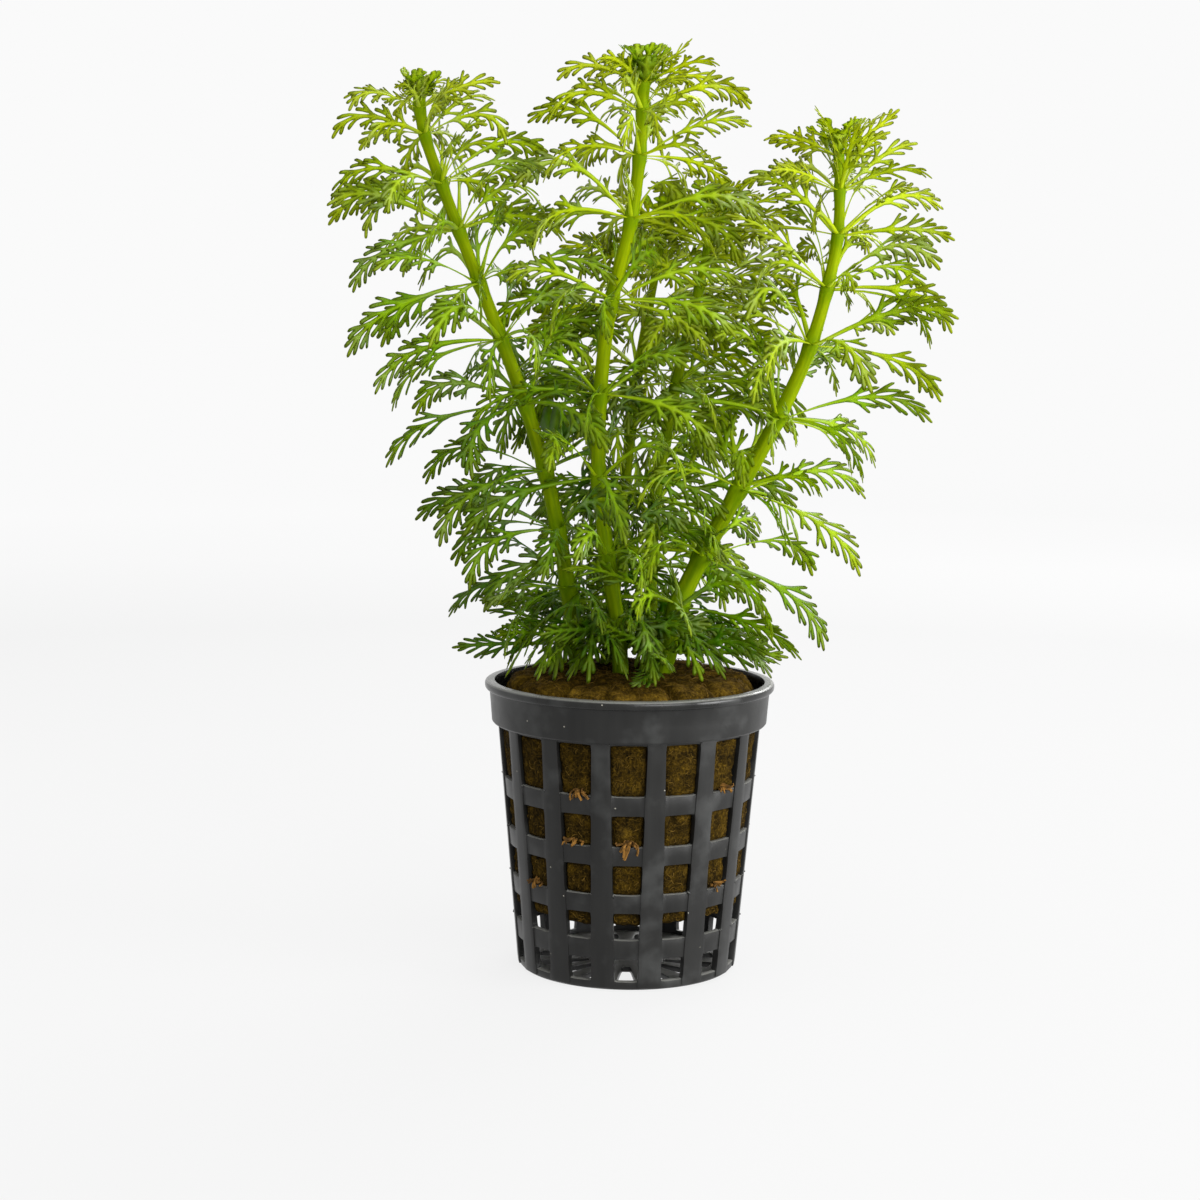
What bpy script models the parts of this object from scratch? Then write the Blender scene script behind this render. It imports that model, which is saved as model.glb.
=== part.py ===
"""Limnophila in a net pot: five stems with whorls of leaves, planted in a plug of rockwool.

Units are metres and +Z is up. The origin is the middle of the pot's underside, so the plant stands on z = 0.
"""

import math
import random

import bmesh
import bpy
from mathutils import Vector
from mathutils.bvhtree import BVHTree

# Net pot: a tapered basket with a plain collar and a rolled lip
POT_HEIGHT = 0.055
LIP_RADIUS = 0.0275
LIP_HEIGHT = 0.0016
LIP_ROUND = 0.0004
COLLAR_TOP_RADIUS = 0.0266
COLLAR_FOOT_RADIUS = 0.0261
COLLAR_FOOT_Z = 0.0470
COLLAR_ROUND = 0.0004
BASKET_TOP_RADIUS = 0.0247
BASKET_FOOT_RADIUS = 0.0206
WALL = 0.0010
FLOOR = 0.0012
POT_CORNER = math.radians(30)

# Windows: columns round the basket, and the height of each row's top and bottom edge
WINDOW_COLUMNS = 15
WINDOW_ROWS = ((0.0466, 0.0369), (0.0334, 0.0274), (0.0240, 0.0183), (0.0149, 0.0097), (0.0061, 0.0017))
COLUMN_ANGLE = 2 * math.pi / WINDOW_COLUMNS
WINDOW_HALF_ANGLE_TOP = math.radians(8.1)
WINDOW_HALF_ANGLE_FOOT = math.radians(6.1)
SLOT_OUTER_RADIUS = 0.0168
SLOT_INNER_RADIUS = 0.0075

# Rockwool plug, wedged in the basket with its foot clear of the floor
GAP = 0.00035
PLUG_FOOT_Z = 0.0122
PLUG_SHOULDER_Z = 0.0540
PLUG_SLOPE_Z = 0.0550
PLUG_CROWN_Z = 0.0568
PLUG_CROWN_FALL = 0.0005
PLUG_CROWN_SHARE = 0.6
PLUG_EDGE = 0.0020
PLUG_SIDES = 24
PLUG_CORNER = math.radians(40)
SOCKET_DEPTH = 0.0060
SOCKET_SIDES = 8
MERGE_DISTANCE = 0.00001

# Stems: points up the middle of each, radii at the foot and the tip, the heights of its whorls, top
# first, the distance below the tip over which its leaves unfurl, and the lift and length share of the
# ring round its bud. They taper slowly at first and faster towards the tip.
STEM_FOOT_Z = 0.0515
STEMS = {
    "left": {
        "route": ((-0.0093, 0.0010, STEM_FOOT_Z), (-0.0112, 0.0006, 0.0680), (-0.0140, -0.0005, 0.0840),
                  (-0.0178, -0.0018, 0.1000), (-0.0246, -0.0026, 0.1190), (-0.0325, -0.0041, 0.1390),
                  (-0.0388, -0.0055, 0.1565), (-0.0398, -0.0065, 0.1650)),
        "radii": (0.00160, 0.00095),
        "whorls": (0.1638, 0.1608, 0.1562, 0.1475, 0.1390, 0.1295,
                   0.1190, 0.1070, 0.0945, 0.0835, 0.0725, 0.0615),
        "unfurling": 0.003,
        "bud": (math.radians(70), 0.40),
    },
    "right": {
        "route": ((0.0050, -0.0030, STEM_FOOT_Z), (0.0085, -0.0026, 0.0680), (0.0155, -0.0018, 0.0830),
                  (0.0270, -0.0010, 0.1046), (0.0335, -0.0003, 0.1200), (0.0376, 0.0005, 0.1380),
                  (0.0378, 0.0012, 0.1500), (0.0373, 0.0020, 0.1575)),
        "radii": (0.00195, 0.00085),
        "whorls": (0.1564, 0.1534, 0.1470, 0.1388, 0.1290, 0.1185, 0.1050, 0.0915, 0.0788, 0.0695, 0.0605),
        "unfurling": 0.014,
        "bud": (math.radians(44), 0.48),
    },
    "centre": {
        "route": ((-0.0014, -0.0040, STEM_FOOT_Z), (-0.0026, -0.0042, 0.0680), (-0.0055, -0.0048, 0.0860),
                  (-0.0064, -0.0055, 0.1040), (-0.0040, -0.0063, 0.1275), (-0.0006, -0.0070, 0.1420),
                  (0.0009, -0.0078, 0.1560), (0.0012, -0.0086, 0.1695)),
        "radii": (0.00155, 0.00105),
        "whorls": (0.1684, 0.1654, 0.1606, 0.1525, 0.1412, 0.1265, 0.1090, 0.0935, 0.0790, 0.0645),
        "unfurling": 0.004,
        "bud": (math.radians(60), 0.46),
    },
    "back_right": {
        "route": ((0.0046, 0.0050, STEM_FOOT_Z), (0.0038, 0.0078, 0.0720), (0.0045, 0.0092, 0.0885),
                  (0.0082, 0.0114, 0.1105), (0.0126, 0.0138, 0.1298), (0.0159, 0.0172, 0.1465)),
        "radii": (0.00140, 0.00075),
        "whorls": (0.1456, 0.1426, 0.1370, 0.1290, 0.1205, 0.1105, 0.0995, 0.0880, 0.0755, 0.0635),
        "unfurling": 0.010,
        "bud": (math.radians(44), 0.48),
    },
    "back_left": {
        "route": ((-0.0050, 0.0085, STEM_FOOT_Z), (-0.0030, 0.0115, 0.0720), (-0.0014, 0.0155, 0.0900),
                  (0.0005, 0.0200, 0.1101), (0.0036, 0.0250, 0.1290), (0.0065, 0.0295, 0.1436)),
        "radii": (0.00135, 0.00070),
        "whorls": (0.1427, 0.1397, 0.1330, 0.1240, 0.1130, 0.1010, 0.0890, 0.0765, 0.0645),
        "unfurling": 0.010,
        "bud": (math.radians(44), 0.48),
    },
}
SPAN_STEPS = 10
STEM_POINTS = 13
TAPER = 1.8

# Leaves: the tip's are few, short and upright, and they grow and bow with each whorl below it.
# Round a whorl they spread by turns above and below its middle, and where the stem leans they turn
# part of the way back to level.
LEAF_LENGTH = 0.0248
LENGTH_START, LENGTH_GROWTH = 0.0055, 0.012
LIFT, TIP_LIFT = math.radians(17), math.radians(28)
SPREAD, SPREAD_GROWTH = math.radians(18), 0.012
BOW, FURLED_SHARE = math.radians(40), 0.78
FREE_ABOVE, FREE_OVER, LOWEST_LENGTH_SHARE = 0.052, 0.026, 0.80
HALF_WIDTH, TIP_HALF_WIDTH, WIDTH_GROWTH = 0.17, 0.05, 0.008
LEAF_COUNTS = ((0.004, 6), (0.012, 7), (0.022, 8), (1.0, 9))
CROWN_SHARE = 0.58
HUB_CLEARANCE = 0.0003
HUB_WIDTH = 0.0006
HUB_HALF_HEIGHT = 0.0005
KEPT_ROOM = 0.0020
BLADE_THICKNESS = 0.0005
LEAF_MARGIN = 0.00035
TURN_JITTER, LIFT_JITTER, BOW_JITTER = math.radians(4), math.radians(8), math.radians(12)
LENGTH_JITTER = 0.10
LEVELLING = 0.45
SEED = 7

# Ways to move a leaf that would meet its neighbour, each tried at full length and then at shorter ones
DODGE_TURNS = tuple(math.radians(a) for a in (0, 7, -7, 14, -14))
DODGE_LIFTS = tuple(math.radians(a) for a in (0, 9, -9, 18, -18, 30, 44))
SHORTEST_SHARE = 0.20
SHORTENING_STEPS = 10
OWN_ROOM_FROM = 0.3


def clear_scene():
    for obj in list(bpy.data.objects):
        bpy.data.objects.remove(obj, do_unlink=True)


def material(name, colour, roughness):
    made = bpy.data.materials.new(name)
    made.use_nodes = True
    shader = made.node_tree.nodes["Principled BSDF"]
    shader.inputs["Base Color"].default_value = (*colour, 1)
    shader.inputs["Roughness"].default_value = roughness
    shader.inputs["Metallic"].default_value = 0
    made.diffuse_color = (*colour, 1)
    return made


def add_object(name, data, finish):
    obj = bpy.data.objects.new(name, data)
    obj.data.materials.append(finish)
    bpy.context.scene.collection.objects.link(obj)
    return obj


def mesh_of(name, points, faces, smooth_angle=None):
    mesh = bpy.data.meshes.new(name)
    mesh.from_pydata([tuple(p) for p in points], [], faces)
    bm = bmesh.new()
    bm.from_mesh(mesh)
    bmesh.ops.recalc_face_normals(bm, faces=bm.faces)
    bm.to_mesh(mesh)
    bm.free()
    if smooth_angle is not None:
        mesh.shade_smooth()
        mesh.set_sharp_from_angle(angle=smooth_angle)
    return mesh


# Net pot


def basket_radius(z):
    """Outside radius of the tapered basket wall at a height."""
    share = z / COLLAR_FOOT_Z
    return BASKET_FOOT_RADIUS + (BASKET_TOP_RADIUS - BASKET_FOOT_RADIUS) * share


def window_half_angle(z):
    top, foot = WINDOW_ROWS[0][0], WINDOW_ROWS[-1][1]
    share = min(max((z - foot) / (top - foot), 0), 1)
    return WINDOW_HALF_ANGLE_FOOT + (WINDOW_HALF_ANGLE_TOP - WINDOW_HALF_ANGLE_FOOT) * share


def pot_profile():
    """Outer and inner (radius, z) pairs from the lip down the wall and in along the floor.

    With them come the bands that are left open: the windows' in the wall and the slots' in the floor.
    """
    outer = [
        (LIP_RADIUS - LIP_ROUND, POT_HEIGHT),
        (LIP_RADIUS, POT_HEIGHT - LIP_HEIGHT / 2),
        (COLLAR_TOP_RADIUS, POT_HEIGHT - LIP_HEIGHT),
        (COLLAR_FOOT_RADIUS, COLLAR_FOOT_Z + COLLAR_ROUND),
        (basket_radius(COLLAR_FOOT_Z) + COLLAR_ROUND, COLLAR_FOOT_Z),
    ]
    inner = [
        (COLLAR_TOP_RADIUS - WALL + LIP_ROUND, POT_HEIGHT),
        (COLLAR_TOP_RADIUS - WALL, POT_HEIGHT - LIP_HEIGHT / 2),
        (COLLAR_TOP_RADIUS - WALL, POT_HEIGHT - LIP_HEIGHT),
        (COLLAR_FOOT_RADIUS - WALL, COLLAR_FOOT_Z + WALL),
        (basket_radius(COLLAR_FOOT_Z) - WALL, COLLAR_FOOT_Z),
    ]
    open_bands = []
    for top, foot in WINDOW_ROWS:
        open_bands.append(len(outer))
        for z in (top, foot):
            outer.append((basket_radius(z), z))
            inner.append((basket_radius(z) - WALL, z))
    outer.append((BASKET_FOOT_RADIUS, 0))
    inner.append((BASKET_FOOT_RADIUS - WALL, FLOOR))
    open_bands.append(len(outer))
    for radius in (SLOT_OUTER_RADIUS, SLOT_INNER_RADIUS):
        outer.append((radius, 0))
        inner.append((radius, FLOOR))
    return outer, inner, open_bands


def build_pot(finish):
    """A grid of stations round the pot and bands down its profile, open at each window and floor slot."""
    outer, inner, open_bands = pot_profile()
    stations = 2 * WINDOW_COLUMNS
    points, faces = [], []
    for profile in (outer, inner):
        for (radius, z), (_, outer_z) in zip(profile, outer):
            for s in range(stations):
                column, side = divmod(s, 2)
                angle = COLUMN_ANGLE * column + (2 * side - 1) * window_half_angle(outer_z)
                points.append((radius * math.sin(angle), -radius * math.cos(angle), z))

    def corner(skin, band, station):
        return (skin * len(outer) + band) * stations + station % stations

    def wall(start, end):
        """A face across the thickness, between two places on the grid."""
        faces.append((corner(0, *start), corner(0, *end), corner(1, *end), corner(1, *start)))

    last = len(outer) - 1
    for band in range(last):
        for s in range(stations):
            if band in open_bands and s % 2 == 0:
                wall((band, s), (band + 1, s))
                wall((band, s + 1), (band + 1, s + 1))
                wall((band, s), (band, s + 1))
                wall((band + 1, s), (band + 1, s + 1))
                continue
            for skin in (0, 1):
                faces.append((corner(skin, band, s), corner(skin, band, s + 1),
                              corner(skin, band + 1, s + 1), corner(skin, band + 1, s)))
    for s in range(stations):
        wall((0, s), (0, s + 1))
    for skin in (0, 1):
        faces.append(tuple(corner(skin, last, s) for s in range(stations)))
    return add_object("net_pot", mesh_of("net_pot", points, faces, POT_CORNER), finish)


# Stems


def smooth_route(route):
    """Points on a Catmull-Rom curve through the route."""
    ends = [Vector(p) for p in route]
    ends = [2 * ends[0] - ends[1], *ends, 2 * ends[-1] - ends[-2]]
    points = []
    for a, b, c, d in zip(ends, ends[1:], ends[2:], ends[3:]):
        for step in range(SPAN_STEPS):
            t = step / SPAN_STEPS
            points.append(0.5 * (2 * b + (c - a) * t + (2 * a - 5 * b + 4 * c - d) * t**2
                                 + (3 * b - a - 3 * c + d) * t**3))
    return [*points, ends[-2]]


def at_height(line, z):
    """Point and upward direction where a stem's line passes a height."""
    for low, high in zip(line, line[1:]):
        if high.z >= z:
            break
    return low.lerp(high, (z - low.z) / (high.z - low.z)), (high - low).normalized()


def stem_radius(stem, z):
    foot, tip = stem["radii"]
    share = (z - STEM_FOOT_Z) / (stem["route"][-1][2] - STEM_FOOT_Z)
    return foot + (tip - foot) * share**TAPER


def build_stem(name, stem, finish):
    curve = bpy.data.curves.new(f"stem_{name}", "CURVE")
    curve.dimensions = "3D"
    curve.bevel_depth = 1
    curve.bevel_resolution = 2
    curve.use_fill_caps = True
    spline = curve.splines.new("POLY")
    spline.points.add(STEM_POINTS - 1)
    foot, top = stem["line"][0].z, stem["line"][-1].z
    for i, point in enumerate(spline.points):
        z = foot + (top - foot) * i / (STEM_POINTS - 1)
        place, _ = at_height(stem["line"], z)
        point.co = (*place, 1)
        point.radius = stem_radius(stem, z)
    return add_object(f"stem_{name}", curve, finish)


# Rockwool plug


def plug_radius(z):
    """Room inside the basket's flat-sided wall at a height, less a small gap."""
    return (basket_radius(z) - WALL) * math.cos(window_half_angle(z)) - GAP


def build_plug(finish):
    """A turned plug with a domed top and a socket for each stem."""
    neck_z = WINDOW_ROWS[0][0]
    top_radius = plug_radius(neck_z)
    foot_radius = plug_radius(PLUG_FOOT_Z)
    profile = (
        (0, PLUG_CROWN_Z),
        (top_radius * PLUG_CROWN_SHARE, PLUG_CROWN_Z - PLUG_CROWN_FALL),
        (top_radius - PLUG_EDGE, PLUG_SLOPE_Z),
        (top_radius, PLUG_SHOULDER_Z - PLUG_EDGE),
        (top_radius, neck_z),
        (plug_radius(PLUG_FOOT_Z + PLUG_EDGE), PLUG_FOOT_Z + PLUG_EDGE),
        (foot_radius - PLUG_EDGE, PLUG_FOOT_Z),
        (0, PLUG_FOOT_Z),
    )
    bm = bmesh.new()
    ring = [bm.verts.new((radius, 0, z)) for radius, z in profile]
    edges = [bm.edges.new(pair) for pair in zip(ring, ring[1:])]
    bmesh.ops.spin(bm, geom=ring + edges, cent=(0, 0, 0), axis=(0, 0, 1), angle=2 * math.pi,
                   steps=PLUG_SIDES, use_duplicate=False)
    bmesh.ops.remove_doubles(bm, verts=bm.verts, dist=MERGE_DISTANCE)
    bmesh.ops.recalc_face_normals(bm, faces=bm.faces)
    mesh = bpy.data.meshes.new("rockwool_plug")
    bm.to_mesh(mesh)
    bm.free()
    mesh.shade_smooth()
    mesh.set_sharp_from_angle(angle=PLUG_CORNER)
    plug = add_object("rockwool_plug", mesh, finish)
    for name, stem in STEMS.items():
        socket = build_socket(name, stem, finish)
        cut = plug.modifiers.new(f"socket_{name}", "BOOLEAN")
        cut.operation = "DIFFERENCE"
        cut.object = socket
    return plug


def build_socket(name, stem, finish):
    """A hidden cutter round the foot of a stem."""
    foot, up = at_height(stem["line"], STEM_FOOT_Z)
    radius = (stem["radii"][0] + GAP) / math.cos(math.pi / SOCKET_SIDES)
    bm = bmesh.new()
    bmesh.ops.create_cone(bm, cap_ends=True, segments=SOCKET_SIDES, radius1=radius, radius2=radius,
                          depth=2 * SOCKET_DEPTH)
    mesh = bpy.data.meshes.new(f"socket_{name}")
    bm.to_mesh(mesh)
    bm.free()
    cutter = add_object(f"socket_{name}", mesh, finish)
    cutter.rotation_euler = up.to_track_quat("Z", "Y").to_euler()
    cutter.location = foot + up * (SOCKET_DEPTH - GAP)
    cutter.hide_render = True
    cutter.display_type = "WIRE"
    return cutter


# Whorls of leaves


def growth(stem, index):
    """What a whorl is like at its distance below the stem's tip. The pot's rim holds the lowest ones up."""
    height = stem["whorls"][index]
    below = stem["route"][-1][2] - height
    freedom = min(1, (height - FREE_ABOVE) / FREE_OVER)
    share = LOWEST_LENGTH_SHARE + (1 - LOWEST_LENGTH_SHARE) * freedom
    furled = math.exp(-below / stem["unfurling"])
    lift = LIFT + TIP_LIFT * furled
    if index == 0:
        lift, share = stem["bud"]
    return {
        "count": next(count for limit, count in LEAF_COUNTS if below < limit),
        "length": LEAF_LENGTH * (1 - math.exp(-(below + LENGTH_START) / LENGTH_GROWTH)) * share,
        "lift": lift,
        "spread": SPREAD * (1 - math.exp(-below / SPREAD_GROWTH)) * freedom,
        "bow": BOW * (1 - FURLED_SHARE * furled) * freedom,
        "half_width": HALF_WIDTH - TIP_HALF_WIDTH * math.exp(-below / WIDTH_GROWTH),
    }


def hub_rings(stem, height, count, turn, width=HUB_WIDTH):
    """The whorl's axes, and its corners round the stem: an inner ring, then an outer one above and below."""
    centre, up = at_height(stem["line"], height)
    across = (Vector((1, 0, 0)) - up * up.x).normalized()
    beside = up.cross(across)
    inner = (stem_radius(stem, height) + HUB_CLEARANCE) / math.cos(math.pi / count)
    rings = []
    outer = inner + width
    for radius, rise in ((inner, 0), (outer, HUB_HALF_HEIGHT), (outer, -HUB_HALF_HEIGHT)):
        for k in range(count):
            angle = turn + 2 * math.pi * (k - 0.5) / count
            rings.append(centre + (across * math.cos(angle) + beside * math.sin(angle)) * radius + up * rise)
    return (across, beside, up), rings


# Points of a leaf: the corners of its base, then its widest part, and its tip
UPPER_LEFT, UPPER_RIGHT, LOWER_LEFT, LOWER_RIGHT, LEFT, RIGHT, RIB, TIP = range(8)
LEAF_FACES = (
    (UPPER_LEFT, UPPER_RIGHT, RIB), (UPPER_RIGHT, RIGHT, RIB), (RIGHT, TIP, RIB), (TIP, LEFT, RIB),
    (LEFT, UPPER_LEFT, RIB), (LOWER_LEFT, LOWER_RIGHT, RIGHT, LEFT), (LEFT, RIGHT, TIP),
    (UPPER_LEFT, LEFT, LOWER_LEFT), (UPPER_RIGHT, LOWER_RIGHT, RIGHT),
)


def leaf_points(corners, axes, angle, shape, margin=0.0):
    """One leaf: a kite with a raised rib, which rises to its widest part and bows over to its tip."""
    across, beside, up = axes
    base = sum(corners, Vector()) / 4
    outward = across * math.cos(angle) + beside * math.sin(angle)
    outward = (outward - Vector((0, 0, outward.z * LEVELLING))).normalized()
    forward = outward * math.cos(shape["lift"]) + up * math.sin(shape["lift"])
    crown = base + forward * shape["length"] * CROWN_SHARE
    onward = (forward * math.cos(shape["bow"]) - Vector((0, 0, math.sin(shape["bow"])))).normalized()
    side = up.cross(outward) * (shape["length"] * shape["half_width"] + margin)
    thick = forward.cross(side).normalized()
    sole = crown - thick * margin
    rib = crown + thick * (BLADE_THICKNESS + margin)
    tip = crown + onward * (shape["length"] * (1 - CROWN_SHARE) + margin)
    return [*corners, sole + side, sole - side, rib, tip]


def outer_part(points):
    """The leaf without its base, where the leaves of one whorl spring from each other's sides."""
    pairs = ((LEFT, RIB), (RIGHT, RIB), (LEFT, LEFT), (RIGHT, RIGHT))
    cut = [corner.lerp((points[a] + points[b]) / 2, OWN_ROOM_FROM) for corner, (a, b) in zip(points, pairs)]
    return [*cut, *points[LEFT:]]


def room(points, faces=LEAF_FACES):
    """A solid's surface for testing, with its lowest and highest corner."""
    lows, highs = zip(*((min(axis), max(axis)) for axis in zip(*points)))
    return BVHTree.FromPolygons(points, faces), lows, highs


def meets(one, other):
    tree, lows, highs = one
    other_tree, other_lows, other_highs = other
    if any(low > high for low, high in zip((*lows, *other_lows), (*other_highs, *highs))):
        return False
    return bool(tree.overlap(other_tree))


def room_of(obj):
    evaluated = obj.evaluated_get(bpy.context.evaluated_depsgraph_get())
    mesh = evaluated.to_mesh()
    made = room([obj.matrix_world @ v.co for v in mesh.vertices], [tuple(p.vertices) for p in mesh.polygons])
    evaluated.to_mesh_clear()
    return made


def free_leaf(corners, axes, angle, shape, taken, siblings):
    """The first way to set a leaf that meets nothing: as it grew, then turned, lifted or shorter."""
    for step in range(SHORTENING_STEPS):
        share = 1 - (1 - SHORTEST_SHARE) * step / (SHORTENING_STEPS - 1)
        for lifted in DODGE_LIFTS:
            for turned in DODGE_TURNS:
                way = {**shape, "length": shape["length"] * share, "lift": shape["lift"] + lifted}
                leaf = leaf_points(corners, axes, angle + turned, way)
                wide = leaf_points(corners, axes, angle + turned, way, LEAF_MARGIN)
                if any(meets(room(leaf), other) or meets(room(wide), other) for other in taken):
                    continue
                if not any(meets(room(outer_part(wide)), other) for other in siblings):
                    return leaf
    return None


def build_whorl(name, whorl, taken, hubs, chance, finish):
    """One ring of leaves as a single solid round its stem, with none where there is no room for it."""
    shape, axes, turn, points = whorl["shape"], whorl["axes"], whorl["turn"], list(whorl["rings"])
    count = shape["count"]
    faces, siblings = [], []
    for k in range(count):
        after = (k + 1) % count
        upper_left, upper_right = count + after, count + k
        lower_left, lower_right = 2 * count + after, 2 * count + k
        faces.append((k, after, upper_left, upper_right))
        faces.append((k, lower_right, lower_left, after))
        corners = [points[i] for i in (upper_left, upper_right, lower_left, lower_right)]
        angle = turn + 2 * math.pi * k / count + chance.uniform(-TURN_JITTER, TURN_JITTER)
        spread = shape["spread"] if k % 2 else -shape["spread"]
        grown = {
            **shape,
            "lift": shape["lift"] + spread + chance.uniform(-LIFT_JITTER, LIFT_JITTER),
            "bow": shape["bow"] + chance.uniform(-BOW_JITTER, BOW_JITTER),
            "length": shape["length"] * (1 + chance.uniform(-LENGTH_JITTER, LENGTH_JITTER)),
        }
        leaf = free_leaf(corners, axes, angle, grown, taken + hubs, siblings)
        if leaf is None:
            faces.append((upper_left, upper_right, lower_right, lower_left))
            continue
        siblings.append(room(outer_part(leaf)))
        at = (upper_left, upper_right, lower_left, lower_right, *range(len(points), len(points) + 4))
        points += leaf[LEFT:]
        faces += [tuple(at[i] for i in face) for face in LEAF_FACES]
    taken.append(room(points, faces))
    return add_object(name, mesh_of(name, points, faces), finish)


def ring_faces(count):
    """Faces of a whorl's bare hub, a ring of triangular section."""
    rings = [[r * count + k for k in range(count)] for r in range(3)]
    return [(a[k], a[(k + 1) % count], b[(k + 1) % count], b[k])
            for a, b in zip(rings, rings[1:] + rings[:1]) for k in range(count)]


def plan_whorls(chance):
    """Every whorl's place and hub, so that no leaf is laid where another whorl will sit."""
    planned = {}
    for name, stem in STEMS.items():
        turn = chance.uniform(0, math.pi)
        for index, height in enumerate(stem["whorls"]):
            shape = growth(stem, index)
            turn += math.pi / shape["count"] + chance.uniform(-TURN_JITTER, TURN_JITTER)
            axes, rings = hub_rings(stem, height, shape["count"], turn)
            _, wide_rings = hub_rings(stem, height, shape["count"], turn, HUB_WIDTH + KEPT_ROOM)
            faces = ring_faces(shape["count"])
            planned[f"whorl_{name}_{index + 1:02d}"] = {
                "stem": name, "shape": shape, "turn": turn, "axes": axes, "rings": rings,
                "hub": room(rings, faces), "kept": room(wide_rings, faces),
            }
    return planned


def main():
    clear_scene()
    pot_plastic = material("pot_plastic", (0.055, 0.058, 0.062), 0.45)
    rockwool = material("rockwool", (0.14, 0.095, 0.022), 0.95)
    stem_green = material("stem_green", (0.26, 0.36, 0.015), 0.40)
    leaf_green = material("leaf_green", (0.13, 0.24, 0.014), 0.45)
    for stem in STEMS.values():
        stem["line"] = smooth_route(stem["route"])
    solids = [build_pot(pot_plastic), build_plug(rockwool)]
    solids += [build_stem(name, stem, stem_green) for name, stem in STEMS.items()]
    bpy.context.view_layer.update()
    taken = [room_of(obj) for obj in solids]
    chance = random.Random(SEED)
    whorls = plan_whorls(chance)
    for name, whorl in sorted(whorls.items(), key=lambda pair: -pair[1]["rings"][0].z):
        same_stem = [w["hub"] for w in whorls.values() if w["stem"] == whorl["stem"] and w is not whorl]
        other_stems = [w["kept"] for w in whorls.values() if w["stem"] != whorl["stem"]]
        build_whorl(name, whorl, taken, same_stem + other_stems, chance, leaf_green)


main()
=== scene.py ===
# %% [markdown]
# A potted limnophila, a stem plant for aquariums, stands in a net pot with a plug of rockwool.
# The frame already holds each piece at its true place and size, but its leaves are plain kites
# and its pot is made of flat panels. Here every piece is modelled again round that frame, with
# the cut of the leaves, the soft edges of moulded plastic and the fibres of the wool.

import math
import random

import bmesh
import bpy
import numpy as np
from mathutils import Matrix, Vector


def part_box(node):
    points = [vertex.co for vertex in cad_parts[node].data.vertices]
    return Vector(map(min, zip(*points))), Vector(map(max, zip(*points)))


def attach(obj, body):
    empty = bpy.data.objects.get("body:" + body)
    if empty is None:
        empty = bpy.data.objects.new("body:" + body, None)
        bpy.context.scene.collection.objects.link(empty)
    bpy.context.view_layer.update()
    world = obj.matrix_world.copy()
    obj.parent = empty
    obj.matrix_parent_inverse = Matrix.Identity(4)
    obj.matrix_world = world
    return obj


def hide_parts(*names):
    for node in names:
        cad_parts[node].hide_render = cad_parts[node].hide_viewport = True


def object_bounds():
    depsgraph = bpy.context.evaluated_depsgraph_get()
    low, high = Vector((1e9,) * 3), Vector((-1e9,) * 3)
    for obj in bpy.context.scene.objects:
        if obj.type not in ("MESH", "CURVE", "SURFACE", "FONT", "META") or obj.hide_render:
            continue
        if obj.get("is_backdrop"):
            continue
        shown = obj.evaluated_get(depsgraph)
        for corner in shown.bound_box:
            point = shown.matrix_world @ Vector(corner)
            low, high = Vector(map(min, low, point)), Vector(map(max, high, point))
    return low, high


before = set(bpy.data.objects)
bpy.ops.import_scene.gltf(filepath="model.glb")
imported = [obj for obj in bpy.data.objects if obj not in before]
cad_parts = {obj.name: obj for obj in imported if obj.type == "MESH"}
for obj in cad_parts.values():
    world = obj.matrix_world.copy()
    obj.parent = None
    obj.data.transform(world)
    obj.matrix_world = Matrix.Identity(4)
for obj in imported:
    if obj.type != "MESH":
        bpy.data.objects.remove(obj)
cad_low, cad_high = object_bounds()
MM = 0.001
NEAR = 0.001 * MM
print("frame box in mm", [round(side / MM, 1) for side in cad_high - cad_low])

# %% [markdown]
# Modelling in edit mode acts on whatever is selected, so each step first selects what it means.
# These helpers do what a hand does with the mouse: make one object active, choose corners or
# faces by where they are, go in and out of edit mode, apply a modifier, and copy or join objects.


# %% Helpers for selecting
def select_only(*pieces):
    """Leaves edit mode and selects just these objects, the first of them active."""
    if bpy.context.object and bpy.context.object.mode != "OBJECT":
        bpy.ops.object.mode_set(mode="OBJECT")
    bpy.ops.object.select_all(action="DESELECT")
    for piece in pieces:
        piece.select_set(True)
    bpy.context.view_layer.objects.active = pieces[0]


def enter_edit(kind):
    """Opens the active object in edit mode, set to choose VERT, EDGE or FACE."""
    bpy.ops.object.mode_set(mode="EDIT")
    bpy.ops.mesh.select_mode(type=kind)


def pick(kind, test):
    """In edit mode, selects just the verts, edges or faces that pass a test, and counts them."""
    bpy.ops.mesh.select_all(action="DESELECT")
    mesh = bmesh.from_edit_mesh(bpy.context.object.data)
    chosen = [part for part in getattr(mesh, kind) if test(part)]
    for part in chosen:
        part.select_set(True)
    mesh.select_flush_mode()
    bmesh.update_edit_mesh(bpy.context.object.data)
    return len(chosen)


def picked_places():
    """Where the selected corners are."""
    mesh = bmesh.from_edit_mesh(bpy.context.object.data)
    return [vert.co.copy() for vert in mesh.verts if vert.select]


def start_piece(name):
    """Names the primitive that was just added, and lays its place and size into its mesh."""
    piece = bpy.context.object
    piece.name = name
    piece.data.name = name
    select_only(piece)
    bpy.ops.object.transform_apply(location=True, rotation=True, scale=True)
    return piece


def copy_piece(piece):
    """A copy of an object with a mesh of its own."""
    copy = piece.copy()
    copy.data = piece.data.copy()
    bpy.context.scene.collection.objects.link(copy)
    return copy


def join_pieces(name, pieces):
    """Joins objects into one and names it."""
    select_only(*pieces)
    bpy.ops.object.join()
    joined = bpy.context.object
    joined.name = name
    return joined


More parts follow.
